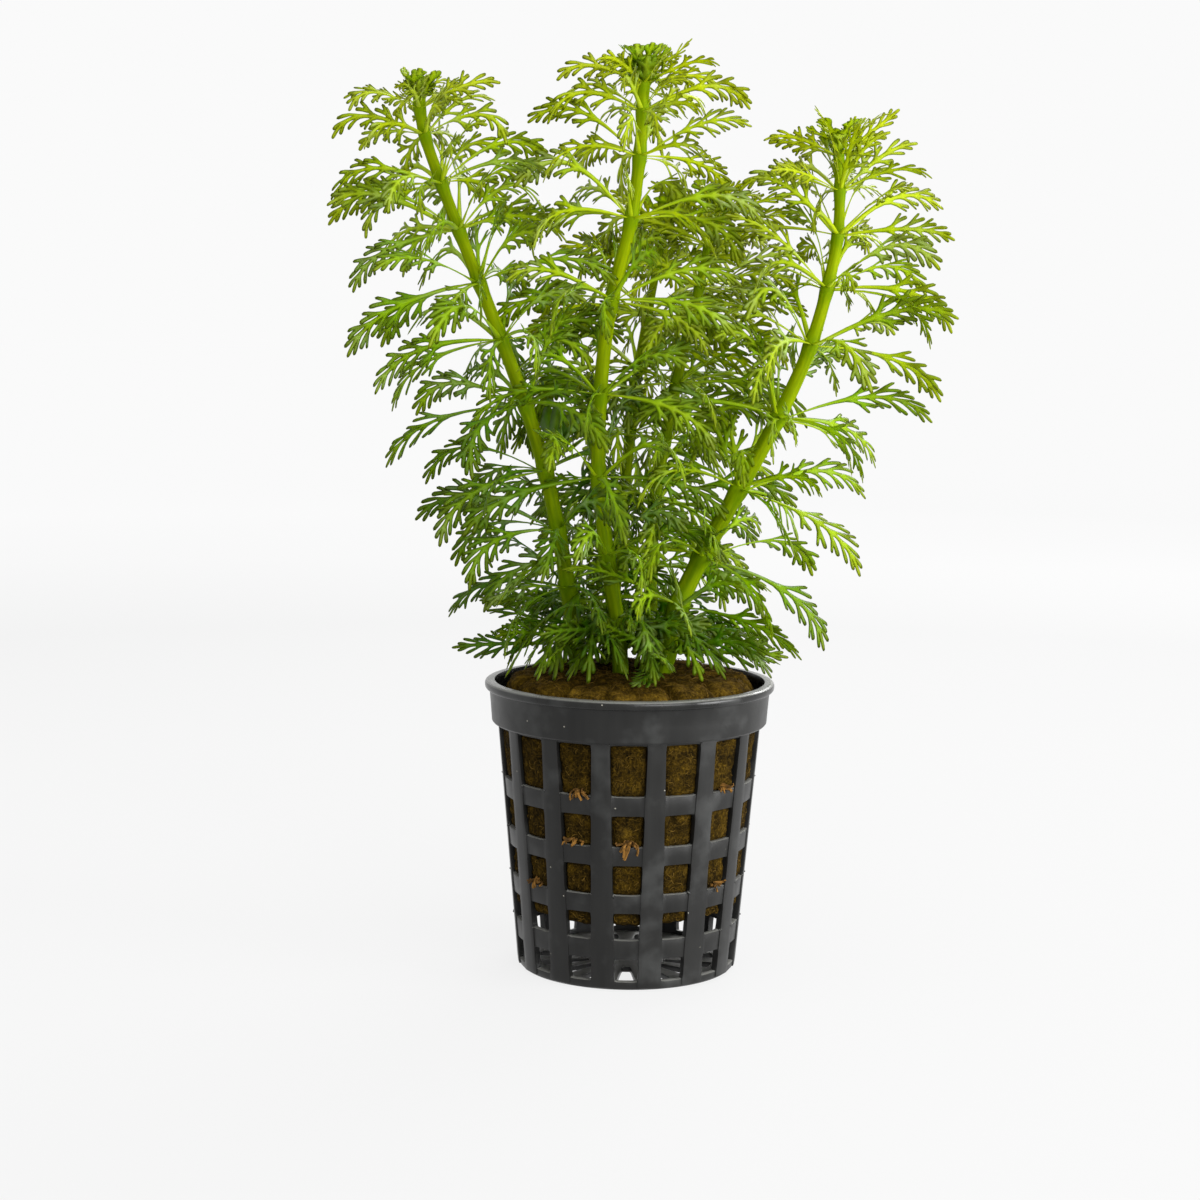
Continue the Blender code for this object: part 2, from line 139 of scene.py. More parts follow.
def apply_modifier(piece, kind, **settings):
    """Adds a modifier with its settings and applies it at once."""
    select_only(piece)
    modifier = piece.modifiers.new(kind.title(), kind)
    for name, value in settings.items():
        setattr(modifier, name, value)
    bpy.ops.object.modifier_apply(modifier=modifier.name)


print("helpers ready")

# %% [markdown]
# The camera stands where the photographer stood: about 46 cm off and a little above the middle
# of the plant, looking slightly down, with the horizon a touch out of level. A long lens keeps
# the pot's rim a flat ellipse.

# %% Camera
CAMERA_PLACE = Vector((0, -0.4607, 0.1263))
CAMERA_PITCH = math.radians(90 - 6.95)
CAMERA_PAN = math.radians(0.72)
CAMERA_ROLL = math.radians(0.62)
CAMERA_LENS = 73.53

bpy.ops.object.camera_add(location=CAMERA_PLACE)
camera = bpy.context.object
camera.name = "camera"
camera.data.lens = CAMERA_LENS
camera.data.clip_start = 10 * MM
turned = Matrix.Rotation(CAMERA_PAN, 3, "Z") @ Matrix.Rotation(CAMERA_PITCH, 3, "X")
camera.rotation_euler = (turned @ Matrix.Rotation(CAMERA_ROLL, 3, "Z")).to_euler()
bpy.context.scene.camera = camera
print("camera", round(CAMERA_PLACE.length / MM), "mm from the pot, lens", CAMERA_LENS, "mm")

# %% [markdown]
# A small plant is shown best in high key: a pale floor, a bright even surround and soft boxes.
# The one behind shines through the upper leaves, which makes them glow yellow-green. The other
# three stand over it and to its right, so that side of the plant, its stems and its pot is the
# brighter one. The camera doesn't see the lamps. Standard colour keeps the greens pure.

# %% Floor and light
ROOM_WHITE = 0.956
FLOOR_SIDE = 12
bpy.context.scene.view_settings.view_transform = "Standard"
bpy.ops.mesh.primitive_plane_add(size=FLOOR_SIDE)
floor = start_piece("floor")
floor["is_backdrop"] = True

world = bpy.data.worlds.new("studio")
bpy.context.scene.world = world
world.use_nodes = True
surround = world.node_tree.nodes["Background"].inputs
surround["Color"].default_value = (1.0, 1.0, 1.0, 1)
surround["Strength"].default_value = ROOM_WHITE

LAMPS = (
    ("lamp_over", (0.10, -0.15, 0.75), 0.50, 3.3),
    ("lamp_right", (0.62, -0.22, 0.16), 0.35, 6.2),
    ("lamp_behind", (0.30, 0.60, 0.55), 0.50, 7.0),
    ("lamp_front", (0.36, -0.72, 0.30), 0.50, 6.6),
)
LAMP_AIM = Vector((0, 0, 0.09))
for name, place, size, watts in LAMPS:
    bpy.ops.object.light_add(type="AREA", location=place)
    lamp = bpy.context.object
    lamp.name = name
    lamp.data.size = size
    lamp.data.energy = watts
    lamp.visible_camera = False
    aim = LAMP_AIM - Vector(place)
    lamp.rotation_euler = aim.to_track_quat("-Z", "Y").to_euler()
print(len(LAMPS), "soft boxes")

# %% [markdown]
# Every finish is built from a few nodes. Colours are picked as the sRGB hex values a painter
# would use, and Blender wants them linear, so one function turns them. Another adds a node,
# sets its properties and fills or links its inputs, which keeps each finish short to read. A
# pattern's scale is worked out from the real size of its features.


# %% Colours and nodes
def linear(code):
    """An sRGB hex colour as linear red, green, blue and alpha."""
    values = [int(code[i:i + 2], 16) / 255 for i in (1, 3, 5)]
    return (*(v / 12.92 if v <= 0.04045 else ((v + 0.055) / 1.055) ** 2.4 for v in values), 1)


def add(tree, kind, inputs, **settings):
    """Adds a node with its properties, links or fills its inputs, and sets a ramp's stops."""
    node = tree.nodes.new(kind)
    stops = settings.pop("stops", ())
    for name, value in settings.items():
        setattr(node, name, value)
    for place, value in inputs.items():
        if isinstance(value, bpy.types.NodeSocket):
            tree.links.new(value, node.inputs[place])
        else:
            node.inputs[place].default_value = value
    for index, (position, colour) in enumerate(stops):
        if index > 1:
            node.color_ramp.elements.new(position)
        node.color_ramp.elements[index].position = position
        node.color_ramp.elements[index].color = colour
    return node


def per(size):
    """The scale of a pattern whose features are this many millimetres."""
    return 1 / (size * MM)


def start_finish(name):
    """A new material with an empty node tree, and its tree."""
    finish = bpy.data.materials.new(name)
    finish.use_nodes = True
    finish.node_tree.nodes.clear()
    return finish, finish.node_tree


print("mid grey #808080 is", round(linear("#808080")[0], 3), "linear")

# %% [markdown]
# The floor is a light table: most of its white comes from below and a little is lit from above,
# so it still takes a soft shadow under the pot. The lamps brighten its middle, so it glows less
# there by just what they add, and meets the white surround without a seam. What a lamp adds
# falls with the square of the distance and with the slant at the lamp and at the floor.

# %% Finish: light table of matt opal acrylic
TABLE_ALBEDO = 0.05
TABLE_REACH = 3.0
SPOTS = 24


def lamp_light(distance):
    """What all lamps add to a white floor, as the mean round a circle about the plant."""
    total = 0
    for step in range(SPOTS):
        turn = 2 * math.pi * step / SPOTS
        spot = Vector((distance * math.cos(turn), distance * math.sin(turn), 0))
        for _, place, _, watts in LAMPS:
            ray = Vector(place) - spot
            towards = ray.normalized()
            facing = max(towards.dot((Vector(place) - LAMP_AIM).normalized()), 0)
            total += watts * facing * towards.z / (math.pi**2 * ray.length_squared) / SPOTS
    return total


light_table, tree = start_finish("matt_opal_acrylic")
place = add(tree, "ShaderNodeTexCoord", {}).outputs["Object"]
away = add(tree, "ShaderNodeVectorMath", {0: place}, operation="LENGTH").outputs["Value"]
share = add(tree, "ShaderNodeMath", {0: away, 1: TABLE_REACH}, operation="DIVIDE").outputs[0]
stops = []
for distance in (0, 0.25, 0.5, 0.75, 1.0, 1.4, 2.0, 3.0):
    level = ROOM_WHITE - TABLE_ALBEDO * (ROOM_WHITE + lamp_light(distance))
    stops.append((distance / TABLE_REACH, (level, level, level, 1)))
level_ramp = add(tree, "ShaderNodeValToRGB", {"Fac": share}, stops=stops).outputs[0]
opal = add(tree, "ShaderNodeBsdfPrincipled", {
    "Base Color": (TABLE_ALBEDO, TABLE_ALBEDO, TABLE_ALBEDO, 1),
    "Roughness": 0.9,
    "Specular IOR Level": 0.0,
    "Emission Color": level_ramp,
    "Emission Strength": 1.0,
})
add(tree, "ShaderNodeOutputMaterial", {"Surface": opal.outputs[0]})
floor.data.materials.append(light_table)
print("table glows from", round(stops[0][1][0], 2), "to", round(stops[-1][1][0], 2))

# %% [markdown]
# The pot is polypropylene moulded in a blasted steel mould. That gives the eye a dark grey,
# slightly greasy satin with a very fine grain, faint flow marks down the wall, some pale specks
# of dust from handling, and a painted highlight: a paler line on edges that face up, where the
# light from above catches them.

# %% Finish: moulded polypropylene
polypropylene, tree = start_finish("moulded_polypropylene")
place = add(tree, "ShaderNodeTexCoord", {}).outputs["Object"]
flow_place = add(tree, "ShaderNodeMapping", {"Vector": place, "Scale": (1, 1, 0.12)}).outputs[0]
flow = add(tree, "ShaderNodeTexNoise", {"Vector": flow_place, "Scale": per(3), "Detail": 3}).outputs[0]
grime = add(tree, "ShaderNodeTexNoise", {"Vector": place, "Scale": per(7), "Detail": 4}).outputs[0]
grain = add(tree, "ShaderNodeTexNoise", {"Vector": place, "Scale": per(0.22), "Detail": 2}).outputs[0]
greys = add(tree, "ShaderNodeValToRGB", {"Fac": flow}, stops=(
    (0.30, linear("#0f0f0e")), (0.72, linear("#181817")))).outputs[0]
specks = add(tree, "ShaderNodeTexVoronoi", {"Vector": place, "Scale": per(2.3), "Randomness": 1.0})
near = add(tree, "ShaderNodeMath", {0: specks.outputs["Distance"], 1: 0.06}, operation="LESS_THAN")
lucky = add(tree, "ShaderNodeSeparateColor", {"Color": specks.outputs["Color"]})
rare = add(tree, "ShaderNodeMath", {0: lucky.outputs[0], 1: 0.84}, operation="GREATER_THAN")
dusty = add(tree, "ShaderNodeMath", {0: near.outputs[0], 1: rare.outputs[0]}, operation="MULTIPLY")
film = add(tree, "ShaderNodeMapRange", {
    "Value": grime, "From Min": 0.52, "From Max": 0.75, "To Min": 0.0, "To Max": 0.12}).outputs[0]
dulled = add(tree, "ShaderNodeMix", {0: film, 6: greys, 7: linear("#6d6f6e")},
             data_type="RGBA").outputs[2]
speckled = add(tree, "ShaderNodeMix", {0: dusty.outputs[0], 6: dulled, 7: linear("#7d7a70")},
               data_type="RGBA").outputs[2]
# Painted highlight: faces that point up are made paler, as where the light from above catches them.
facing = add(tree, "ShaderNodeNewGeometry", {}).outputs["Normal"]
upward = add(tree, "ShaderNodeSeparateXYZ", {"Vector": facing}).outputs[2]
sill_highlight = add(tree, "ShaderNodeMapRange", {
    "Value": upward, "From Min": 0.45, "From Max": 0.9, "To Min": 0.0, "To Max": 0.30}).outputs[0]
coloured = add(tree, "ShaderNodeMix", {0: sill_highlight, 6: speckled, 7: linear("#a2a29c")},
               data_type="RGBA").outputs[2]
dull = add(tree, "ShaderNodeMapRange", {
    "Value": grime, "From Min": 0.3, "From Max": 0.7, "To Min": 0.30, "To Max": 0.46}).outputs[0]
level = add(tree, "ShaderNodeSeparateXYZ", {"Vector": place}).outputs[2]
lip_shine = add(tree, "ShaderNodeMapRange", {
    "Value": level, "From Min": 0.0528, "From Max": 0.0536, "To Min": 0.0, "To Max": -0.12}).outputs[0]
gloss = add(tree, "ShaderNodeMath", {0: dull, 1: lip_shine}, operation="ADD").outputs[0]
bump = add(tree, "ShaderNodeBump", {"Height": grain, "Strength": 0.35, "Distance": 0.03 * MM}).outputs[0]
shell = add(tree, "ShaderNodeBsdfPrincipled", {
    "Base Color": coloured, "Roughness": gloss, "IOR": 1.49, "Specular IOR Level": 0.27,
    "Normal": bump})
add(tree, "ShaderNodeOutputMaterial", {"Surface": shell.outputs[0]})
print(len(tree.nodes), "nodes in", polypropylene.name)

# %% [markdown]
# Rockwool is spun mineral fibre, here wet and stained dark brown. The eye sees a dull felt with
# paler golden hairs in it. A thin band round one value of a smooth noise is a fine winding line,
# so two such bands make the hairs. The real fibres are about 0.01 mm, too fine to show, so they
# are drawn about fifteen times as coarse. The side is painted darker than the top, as shade inside the pot.

# %% Finish: wet rockwool
rockwool, tree = start_finish("wet_rockwool")
place = add(tree, "ShaderNodeTexCoord", {}).outputs["Object"]
clumps = add(tree, "ShaderNodeTexNoise", {"Vector": place, "Scale": per(2.6), "Detail": 4,
                                          "Roughness": 0.6}).outputs[0]
fuzz = add(tree, "ShaderNodeTexNoise", {"Vector": place, "Scale": per(0.5), "Detail": 4,
                                        "Roughness": 0.8}).outputs[0]


def hairs(scale, stretch, width):
    """Bright winding lines: the band where a noise, drawn out along one way, is near a half."""
    drawn = add(tree, "ShaderNodeMapping", {"Vector": place, "Scale": stretch}).outputs[0]
    noise = add(tree, "ShaderNodeTexNoise", {
        "Vector": drawn, "Scale": per(scale), "Detail": 1.5, "Distortion": 0.8}).outputs[0]
    off = add(tree, "ShaderNodeMath", {0: noise, 1: 0.5}, operation="SUBTRACT").outputs[0]
    off = add(tree, "ShaderNodeMath", {0: off}, operation="ABSOLUTE").outputs[0]
    return add(tree, "ShaderNodeMapRange", {
        "Value": off, "From Min": 0.0, "From Max": width, "To Min": 1.0, "To Max": 0.0}).outputs[0]


level = add(tree, "ShaderNodeSeparateXYZ", {"Vector": place}).outputs[2]
# Painted shade: the wool is darker below the pot's rim than on its lit top.
side_shade = add(tree, "ShaderNodeMapRange", {
    "Value": level, "From Min": 0.047, "From Max": 0.053, "To Min": -0.03, "To Max": 0.06}).outputs[0]
one_way = hairs(1.2, (1.0, 1.0, 0.45), 0.03)
other_way = hairs(0.9, (0.5, 0.5, 1.2), 0.03)
web = add(tree, "ShaderNodeMath", {0: one_way, 1: other_way}, operation="MAXIMUM").outputs[0]
soft = add(tree, "ShaderNodeMath", {0: fuzz, 1: 0.55, 2: side_shade}, operation="MULTIPLY_ADD").outputs[0]
felt = add(tree, "ShaderNodeMath", {0: clumps, 1: 0.45, 2: soft}, operation="MULTIPLY_ADD").outputs[0]
browns = add(tree, "ShaderNodeValToRGB", {"Fac": felt}, stops=(
    (0.36, linear("#0c0801")), (0.46, linear("#1e1503")), (0.56, linear("#362805")),
    (0.68, linear("#624c14")))).outputs[0]
hair_share = add(tree, "ShaderNodeMath", {0: web, 1: 0.10}, operation="MULTIPLY").outputs[0]
haired = add(tree, "ShaderNodeMix", {0: hair_share, 6: browns, 7: linear("#9a7a30")},
             data_type="RGBA").outputs[2]
relief = add(tree, "ShaderNodeMath", {0: web, 1: 0.20, 2: fuzz}, operation="MULTIPLY_ADD").outputs[0]
bump = add(tree, "ShaderNodeBump", {"Height": relief, "Strength": 1.0, "Distance": 0.30 * MM}).outputs[0]
wool = add(tree, "ShaderNodeBsdfPrincipled", {
    "Base Color": haired, "Roughness": 0.9, "Specular IOR Level": 0.03, "Normal": bump})
add(tree, "ShaderNodeOutputMaterial", {"Surface": wool.outputs[0]})
print(len(tree.nodes), "nodes in", rockwool.name)

# %% [markdown]
# Loose fibres stand off the wool, and fine roots hang at some windows. The fibres are wet and about
# as brown as the wool, and the roots are dry and tan.

# %% Finishes: wool fibre and dry root
def fibre_finish(name, dark, pale):
    """A matt strand that changes between two colours along its length."""
    finish, tree = start_finish(name)
    place = add(tree, "ShaderNodeTexCoord", {}).outputs["Object"]
    patches = add(tree, "ShaderNodeTexNoise", {"Vector": place, "Scale": per(1.5), "Detail": 2}).outputs[0]
    tans = add(tree, "ShaderNodeValToRGB", {"Fac": patches}, stops=(
        (0.36, linear(dark)), (0.64, linear(pale)))).outputs[0]
    strand = add(tree, "ShaderNodeBsdfPrincipled", {
        "Base Color": tans, "Roughness": 0.8, "Specular IOR Level": 0.1})
    add(tree, "ShaderNodeOutputMaterial", {"Surface": strand.outputs[0]})
    return finish


wool_fibre = fibre_finish("brown_wool_fibre", "#3a2a06", "#5a4516")
root_fibre = fibre_finish("dry_tan_root", "#36250d", "#6f4e20")
print(wool_fibre.name, "and", root_fibre.name)

# %% [markdown]
# A living stem is watery and smooth. Light goes a little way in, so its shadows are soft and
# warm. Bundles of veins show as pale streaks along it, and it is deeper green low down where it
# is older. Round each node it is painted darker, as the shade of the ring of leaf stalks there.

# %% Finish: juicy stem
juicy_stem, tree = start_finish("juicy_stem")
straight = add(tree, "ShaderNodeAttribute", {}, attribute_name="straight").outputs["Vector"]
marks = add(tree, "ShaderNodeAttribute", {}, attribute_name="marks")
parts = add(tree, "ShaderNodeSeparateColor", {"Color": marks.outputs["Color"]}).outputs
node_shade_share, height_share = parts[0], parts[1]
drawn = add(tree, "ShaderNodeMapping", {"Vector": straight, "Scale": (1, 1, 0.06)}).outputs[0]
veins = add(tree, "ShaderNodeTexNoise", {"Vector": drawn, "Scale": per(0.7), "Detail": 2}).outputs[0]
blotches = add(tree, "ShaderNodeTexNoise", {"Vector": straight, "Scale": per(5), "Detail": 3}).outputs[0]
old_green = add(tree, "ShaderNodeValToRGB", {"Fac": veins}, stops=(
    (0.35, linear("#3f5600")), (0.66, linear("#566b00")))).outputs[0]
new_green = add(tree, "ShaderNodeValToRGB", {"Fac": veins}, stops=(
    (0.35, linear("#5f7100")), (0.66, linear("#768500")))).outputs[0]
height_felt = add(tree, "ShaderNodeMath", {0: blotches, 1: 0.5, 2: height_share}, operation="MULTIPLY_ADD")
grown = add(tree, "ShaderNodeMapRange", {
    "Value": height_felt.outputs[0], "From Min": 0.25, "From Max": 1.0}).outputs[0]
body_green = add(tree, "ShaderNodeMix", {0: grown, 6: old_green, 7: new_green}, data_type="RGBA").outputs[2]
# Painted shade: round each node the green darkens, as in the shade of the ring of leaf stalks.
near_node = add(tree, "ShaderNodeMath", {0: node_shade_share, 1: 0.75}, operation="MULTIPLY").outputs[0]
greens = add(tree, "ShaderNodeMix", {0: near_node, 6: body_green, 7: linear("#4a6a00")},
             data_type="RGBA").outputs[2]
bump = add(tree, "ShaderNodeBump", {"Height": veins, "Strength": 0.35, "Distance": 0.06 * MM}).outputs[0]
flesh = add(tree, "ShaderNodeBsdfPrincipled", {
    "Base Color": greens, "Roughness": 0.48, "IOR": 1.42, "Specular IOR Level": 0.02, "Normal": bump,
    "Subsurface Weight": 0.25, "Subsurface Radius": (0.6, 1.0, 0.15), "Subsurface Scale": 0.9 * MM})
add(tree, "ShaderNodeOutputMaterial", {"Surface": flesh.outputs[0]})
print(len(tree.nodes), "nodes in", juicy_stem.name)

# %% [markdown]
# The leaves are thin enough to glow. A plain surface gives the green of the upper side, and a
# translucent one lets the light behind through, yellower than what is reflected. Age turns them
# from yellow-green to deep green, stalks and midribs stay fresh, rims and finger tips are darker,
# and here and there a painted sheen, the white room's reflection on the wax, greys the green.

# %% Finish: waxy living leaf
living_leaf, tree = start_finish("waxy_living_leaf")
place = add(tree, "ShaderNodeTexCoord", {}).outputs["Object"]
marks = add(tree, "ShaderNodeAttribute", {}, attribute_name="marks")
tip_share, rim_share, fresh_share = add(
    tree, "ShaderNodeSeparateColor", {"Color": marks.outputs["Color"]}).outputs
mottle = add(tree, "ShaderNodeTexNoise", {"Vector": place, "Scale": per(2.2), "Detail": 3}).outputs[0]
cells = add(tree, "ShaderNodeTexNoise", {"Vector": place, "Scale": per(0.3), "Detail": 2}).outputs[0]
drift = add(tree, "ShaderNodeTexNoise", {"Vector": place, "Scale": per(13), "Detail": 1}).outputs[0]
# Painted sheen: seeded patches away from the rims are mixed towards a pale grey-green, standing for
# reflections of the room.
sheen_patch = add(tree, "ShaderNodeMapRange", {"Value": drift, "From Min": 0.56, "From Max": 0.66}).outputs[0]
off_rim = add(tree, "ShaderNodeMapRange", {"Value": rim_share, "To Min": 0.6, "To Max": 0.0}).outputs[0]
painted_sheen = add(tree, "ShaderNodeMath", {0: sheen_patch, 1: off_rim}, operation="MULTIPLY").outputs[0]
age = marks.outputs["Alpha"]
aged = add(tree, "ShaderNodeMath", {0: mottle, 1: 0.30, 2: age}, operation="MULTIPLY_ADD").outputs[0]
age_share = add(tree, "ShaderNodeMapRange", {
    "Value": aged, "From Min": 0.15, "From Max": 1.15}).outputs[0]
face_green = add(tree, "ShaderNodeValToRGB", {"Fac": age_share}, stops=(
    (0.0, linear("#a8b40e")), (0.35, linear("#9eb20c")), (0.7, linear("#84ac0c")),
    (1.0, linear("#3c6a06")))).outputs[0]
face_green = add(tree, "ShaderNodeMix", {0: painted_sheen, 6: face_green, 7: linear("#a9bf88")},
                 data_type="RGBA").outputs[2]
glow_green = add(tree, "ShaderNodeValToRGB", {"Fac": age_share}, stops=(
    (0.0, linear("#dade10")), (0.35, linear("#cad80e")), (0.7, linear("#b2d20e")),
    (1.0, linear("#649a08")))).outputs[0]
rims = add(tree, "ShaderNodeMath", {0: rim_share, 1: 0.55}, operation="MULTIPLY").outputs[0]
ends = add(tree, "ShaderNodeMath", {0: tip_share, 1: 0.72}, operation="MULTIPLY").outputs[0]
fades = add(tree, "ShaderNodeMapRange", {
    "Value": age, "From Min": 0.4, "From Max": 1.0, "To Min": 0.75, "To Max": 0.12}).outputs[0]
fresh = add(tree, "ShaderNodeMath", {0: fresh_share, 1: fades}, operation="MULTIPLY").outputs[0]


def shade_parts(green, rim, tip, stalk):
    """A green with the darker rims, the olive finger tips and the yellow-green stalk laid over it."""
    for share, colour in ((rims, rim), (ends, tip), (fresh, stalk)):
        green = add(tree, "ShaderNodeMix", {0: share, 6: green, 7: linear(colour)},
                    data_type="RGBA").outputs[2]
    return green


face_colour = shade_parts(face_green, "#4c6a08", "#4a4f05", "#bccb1a")
glow_colour = shade_parts(glow_green, "#8aa80c", "#7a7e08", "#e2ea1e")
rough_wax = add(tree, "ShaderNodeMapRange", {
    "Value": mottle, "From Min": 0.3, "From Max": 0.7, "To Min": 0.34, "To Max": 0.50}).outputs[0]
bump = add(tree, "ShaderNodeBump", {"Height": cells, "Strength": 0.4, "Distance": 0.05 * MM}).outputs[0]
blade = add(tree, "ShaderNodeBsdfPrincipled", {
    "Base Color": face_colour, "Roughness": rough_wax, "IOR": 1.45, "Specular IOR Level": 0.20,
    "Normal": bump})
glow = add(tree, "ShaderNodeBsdfTranslucent", {"Color": glow_colour, "Normal": bump})
both = add(tree, "ShaderNodeMixShader", {0: 0.5, 1: blade.outputs[0], 2: glow.outputs[0]})
add(tree, "ShaderNodeOutputMaterial", {"Surface": both.outputs[0]})
print(len(tree.nodes), "nodes in", living_leaf.name)


# %% Give a piece its finish
def settle(piece, finish, slot, *nodes):
    """Gives a finished piece its material and its body, and hides the nodes that it stands for; the slot is
    not used.
    """
    piece.data.materials.clear()
    piece.data.materials.append(finish)
    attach(piece, "root")
    if nodes:
        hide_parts(*nodes)


print("pieces ride on root")

# %% [markdown]
# The net pot is one shot of dark grey polypropylene: a tapered basket with fifteen columns of
# windows, a plain collar and a rolled lip. It could be cut with booleans, but turning is how its
# mould is made, and it keeps the faces tidy: a line is extruded through the profile of one
# column, spun over that column's angle, the windows are deleted, and the column is spun round.
# The profile keeps a row of corners a millimetre inside each opening, to hold its edge sharp.

# %% Profile of the pot
COLUMNS = 15
COLUMN_ANGLE = 2 * math.pi / COLUMNS
WINDOW_ROWS = ((46.6, 36.9), (33.4, 27.4), (24.0, 18.3), (14.9, 9.7), (6.1, 1.7))
WIDE, NARROW = math.radians(8.1), math.radians(6.1)
SLOT = (7.5, 16.8)
POT_WALL = 1.0
SUPPORT = 1.0


def wall_radius(z):
    """Outside radius of the basket in mm at a height in mm."""
    return 20.6 + 4.1 * z / 47.0


def half_window(z):
    """Half the angle that a window spans at a height in mm."""
    share = min(max((z - WINDOW_ROWS[-1][1]) / (WINDOW_ROWS[0][0] - WINDOW_ROWS[-1][1]), 0), 1)
    return NARROW + (WIDE - NARROW) * share


def around(radius, z, angle):
    """The place at a radius and height in mm, at an angle from the front."""
    return Vector((radius * math.sin(angle), -radius * math.cos(angle), z)) * MM


floor_line = [(0, 0), (4, 0), (SLOT[0], 0), (SLOT[0] + SUPPORT, 0), (12, 0), (SLOT[1] - SUPPORT, 0),
              (SLOT[1], 0), (19.4, 0), (20.2, 0.15), (20.6, 0.6)]
window_line = []
for top, foot in reversed(WINDOW_ROWS):
    levels = (foot, foot + SUPPORT, (foot + top) / 2, top - SUPPORT, top)
    window_line += [(wall_radius(z), z) for z in levels]
collar_line = [(24.75, 47.0), (25.85, 47.1), (26.1, 47.4), (26.3, 50.0), (26.6, 53.4), (26.65, 55.0)]
pot_line = floor_line + window_line + collar_line
print(len(pot_line), "places down the profile, windows", round(2 * wall_radius(46.6) * WIDE, 1), "mm wide")

# %% [markdown]
# Turning starts from one corner. A plane is added and merged to a single corner, which is moved
# to the start of the profile and extruded from place to place. Spin in code turns the other way
# from the angle that is written, so the sign is changed once, in the helper.


# %% Turn a profile
def turn_profile(name, line, start, spins):
    """Extrudes a corner along a line of (radius, z) in mm, and spins it by angles in steps."""
    bpy.ops.mesh.primitive_plane_add(size=MM)
    piece = start_piece(name)
    enter_edit("VERT")
    bpy.ops.mesh.select_all(action="SELECT")
    bpy.ops.mesh.merge(type="CENTER")
    bpy.ops.transform.translate(value=around(*line[0], start))
    for here, there in zip(line, line[1:]):
        step = around(*there, start) - around(*here, start)
        bpy.ops.mesh.extrude_region_move(TRANSFORM_OT_translate={"value": step})
    bpy.ops.mesh.select_all(action="SELECT")
    for angle, steps in spins:
        bpy.ops.mesh.spin(steps=steps, angle=-angle, center=(0, 0, 0), axis=(0, 0, 1))
    return piece


def polar(place):
    """Radius and height in mm, and the angle from the front."""
    return math.hypot(place.x, place.y) / MM, place.z / MM, math.atan2(place.x, -place.y)


def move_corners(piece, rule):
    """Moves each corner to the radius, height and angle that a rule gives for it."""
    select_only(piece)
    for vert in piece.data.vertices:
        vert.co = around(*rule(*polar(vert.co)))


pillar = COLUMN_ANGLE / 2 - WIDE
basket = turn_profile("basket", pot_line, -COLUMN_ANGLE / 2, ((pillar, 2), (2 * WIDE, 6), (pillar, 2)))
print("one column has", len(basket.data.vertices), "corners")

# %% [markdown]
# The windows narrow towards the foot, so the turned column is first tapered: corners inside a
# window keep their share of its width, and those on the pillar share what is left. The windows'
# four corners are pulled in a little, because a mould's cutter leaves them rounded.


# %% Taper and open the windows
CORNER_PULL = 0.10
SAME_PLACE, SAME_ANGLE = 0.01, 0.0001


def edge_kind(value, edges):
    """Minus one at the lower of a pair of edges, one at the upper and nothing elsewhere."""
    at_lower, at_upper = (abs(value - edge) < SAME_PLACE for edge in edges)
    return at_upper - at_lower


def taper(radius, z, angle):
    """Narrows the windows towards the foot and rounds their corners."""
    if radius < 0.5:
        return radius, z, angle
    half = half_window(z)
    side = math.copysign(1, angle)
    beyond = abs(angle) - WIDE
    if beyond < SAME_ANGLE:
        moved = angle * half / WIDE
    else:
        moved = side * (half + beyond * (COLUMN_ANGLE / 2 - half) / pillar)
    if abs(beyond) < SAME_ANGLE:
        up = sum(edge_kind(z, (foot, top)) for top, foot in WINDOW_ROWS)
        out = edge_kind(radius, SLOT) if z < SAME_PLACE else 0
        if up or out:
            moved -= side * CORNER_PULL / radius
            return radius - out * CORNER_PULL, z - up * CORNER_PULL, moved
    return radius, z, moved


def in_opening(face):
    """Whether a face of the column lies in one of its windows or in its floor slot."""
    radius, z, angle = polar(face.calc_center_median())
    if abs(angle) > half_window(z):
        return False
    if z < 0.1:
        return SLOT[0] < radius < SLOT[1]
    return any(foot < z < top for top, foot in WINDOW_ROWS)


select_only(basket)
move_corners(basket, taper)
enter_edit("FACE")
opened = pick("faces", in_opening)
bpy.ops.mesh.delete(type="FACE")
bpy.ops.mesh.select_all(action="SELECT")
bpy.ops.mesh.spin(steps=COLUMNS - 1, angle=-COLUMN_ANGLE * (COLUMNS - 1), dupli=True,
                  center=(0, 0, 0), axis=(0, 0, 1))
bpy.ops.mesh.select_all(action="SELECT")
bpy.ops.mesh.remove_doubles(threshold=0.01 * MM)
bpy.ops.mesh.normals_make_consistent(inside=False)
select_only(basket)
print(opened, "faces removed for a column's windows;", len(basket.data.polygons), "faces round the pot")

# %% [markdown]
# Solidify gives the wall its millimetre. The pillars stand a little prouder than the cross bars,
# as they do on such a pot, and the lip is pushed out from the top band and rounded by a bevel.
# A last small bevel on every hard edge catches the light as moulded plastic does.

# %% Wall, pillars, lip and edges
PILLAR_STEP = 0.22
PILLAR_FOOT, PILLAR_TOP = 0.6, 46.95
BAND_FOOT, BAND_RADIUS = 53.4, 26.62
LIP_RADIUS = 27.45
LIP_ROUNDING = 0.6
SOFT_EDGE = 0.07
SLACK = 0.12
UPRIGHT = 0.3


def on_pillar(face):
    """Whether a face is on the outside of a pillar, between the collar and the foot."""
    radius, z, angle = polar(face.calc_center_median())
    column = (angle + COLUMN_ANGLE / 2) % COLUMN_ANGLE - COLUMN_ANGLE / 2
    outward = face.normal.to_2d().dot(face.calc_center_median().to_2d()) > 0
    outside = abs(radius - wall_radius(z)) < SLACK and abs(face.normal.z) < UPRIGHT and outward
    return outside and PILLAR_FOOT < z < PILLAR_TOP and abs(column) > half_window(z)


def on_lip_band(face):
    """Whether a face is on the outside of the top band."""
    radius, z, _ = polar(face.calc_center_median())
    return z > BAND_FOOT and radius > BAND_RADIUS - SLACK and abs(face.normal.z) < UPRIGHT


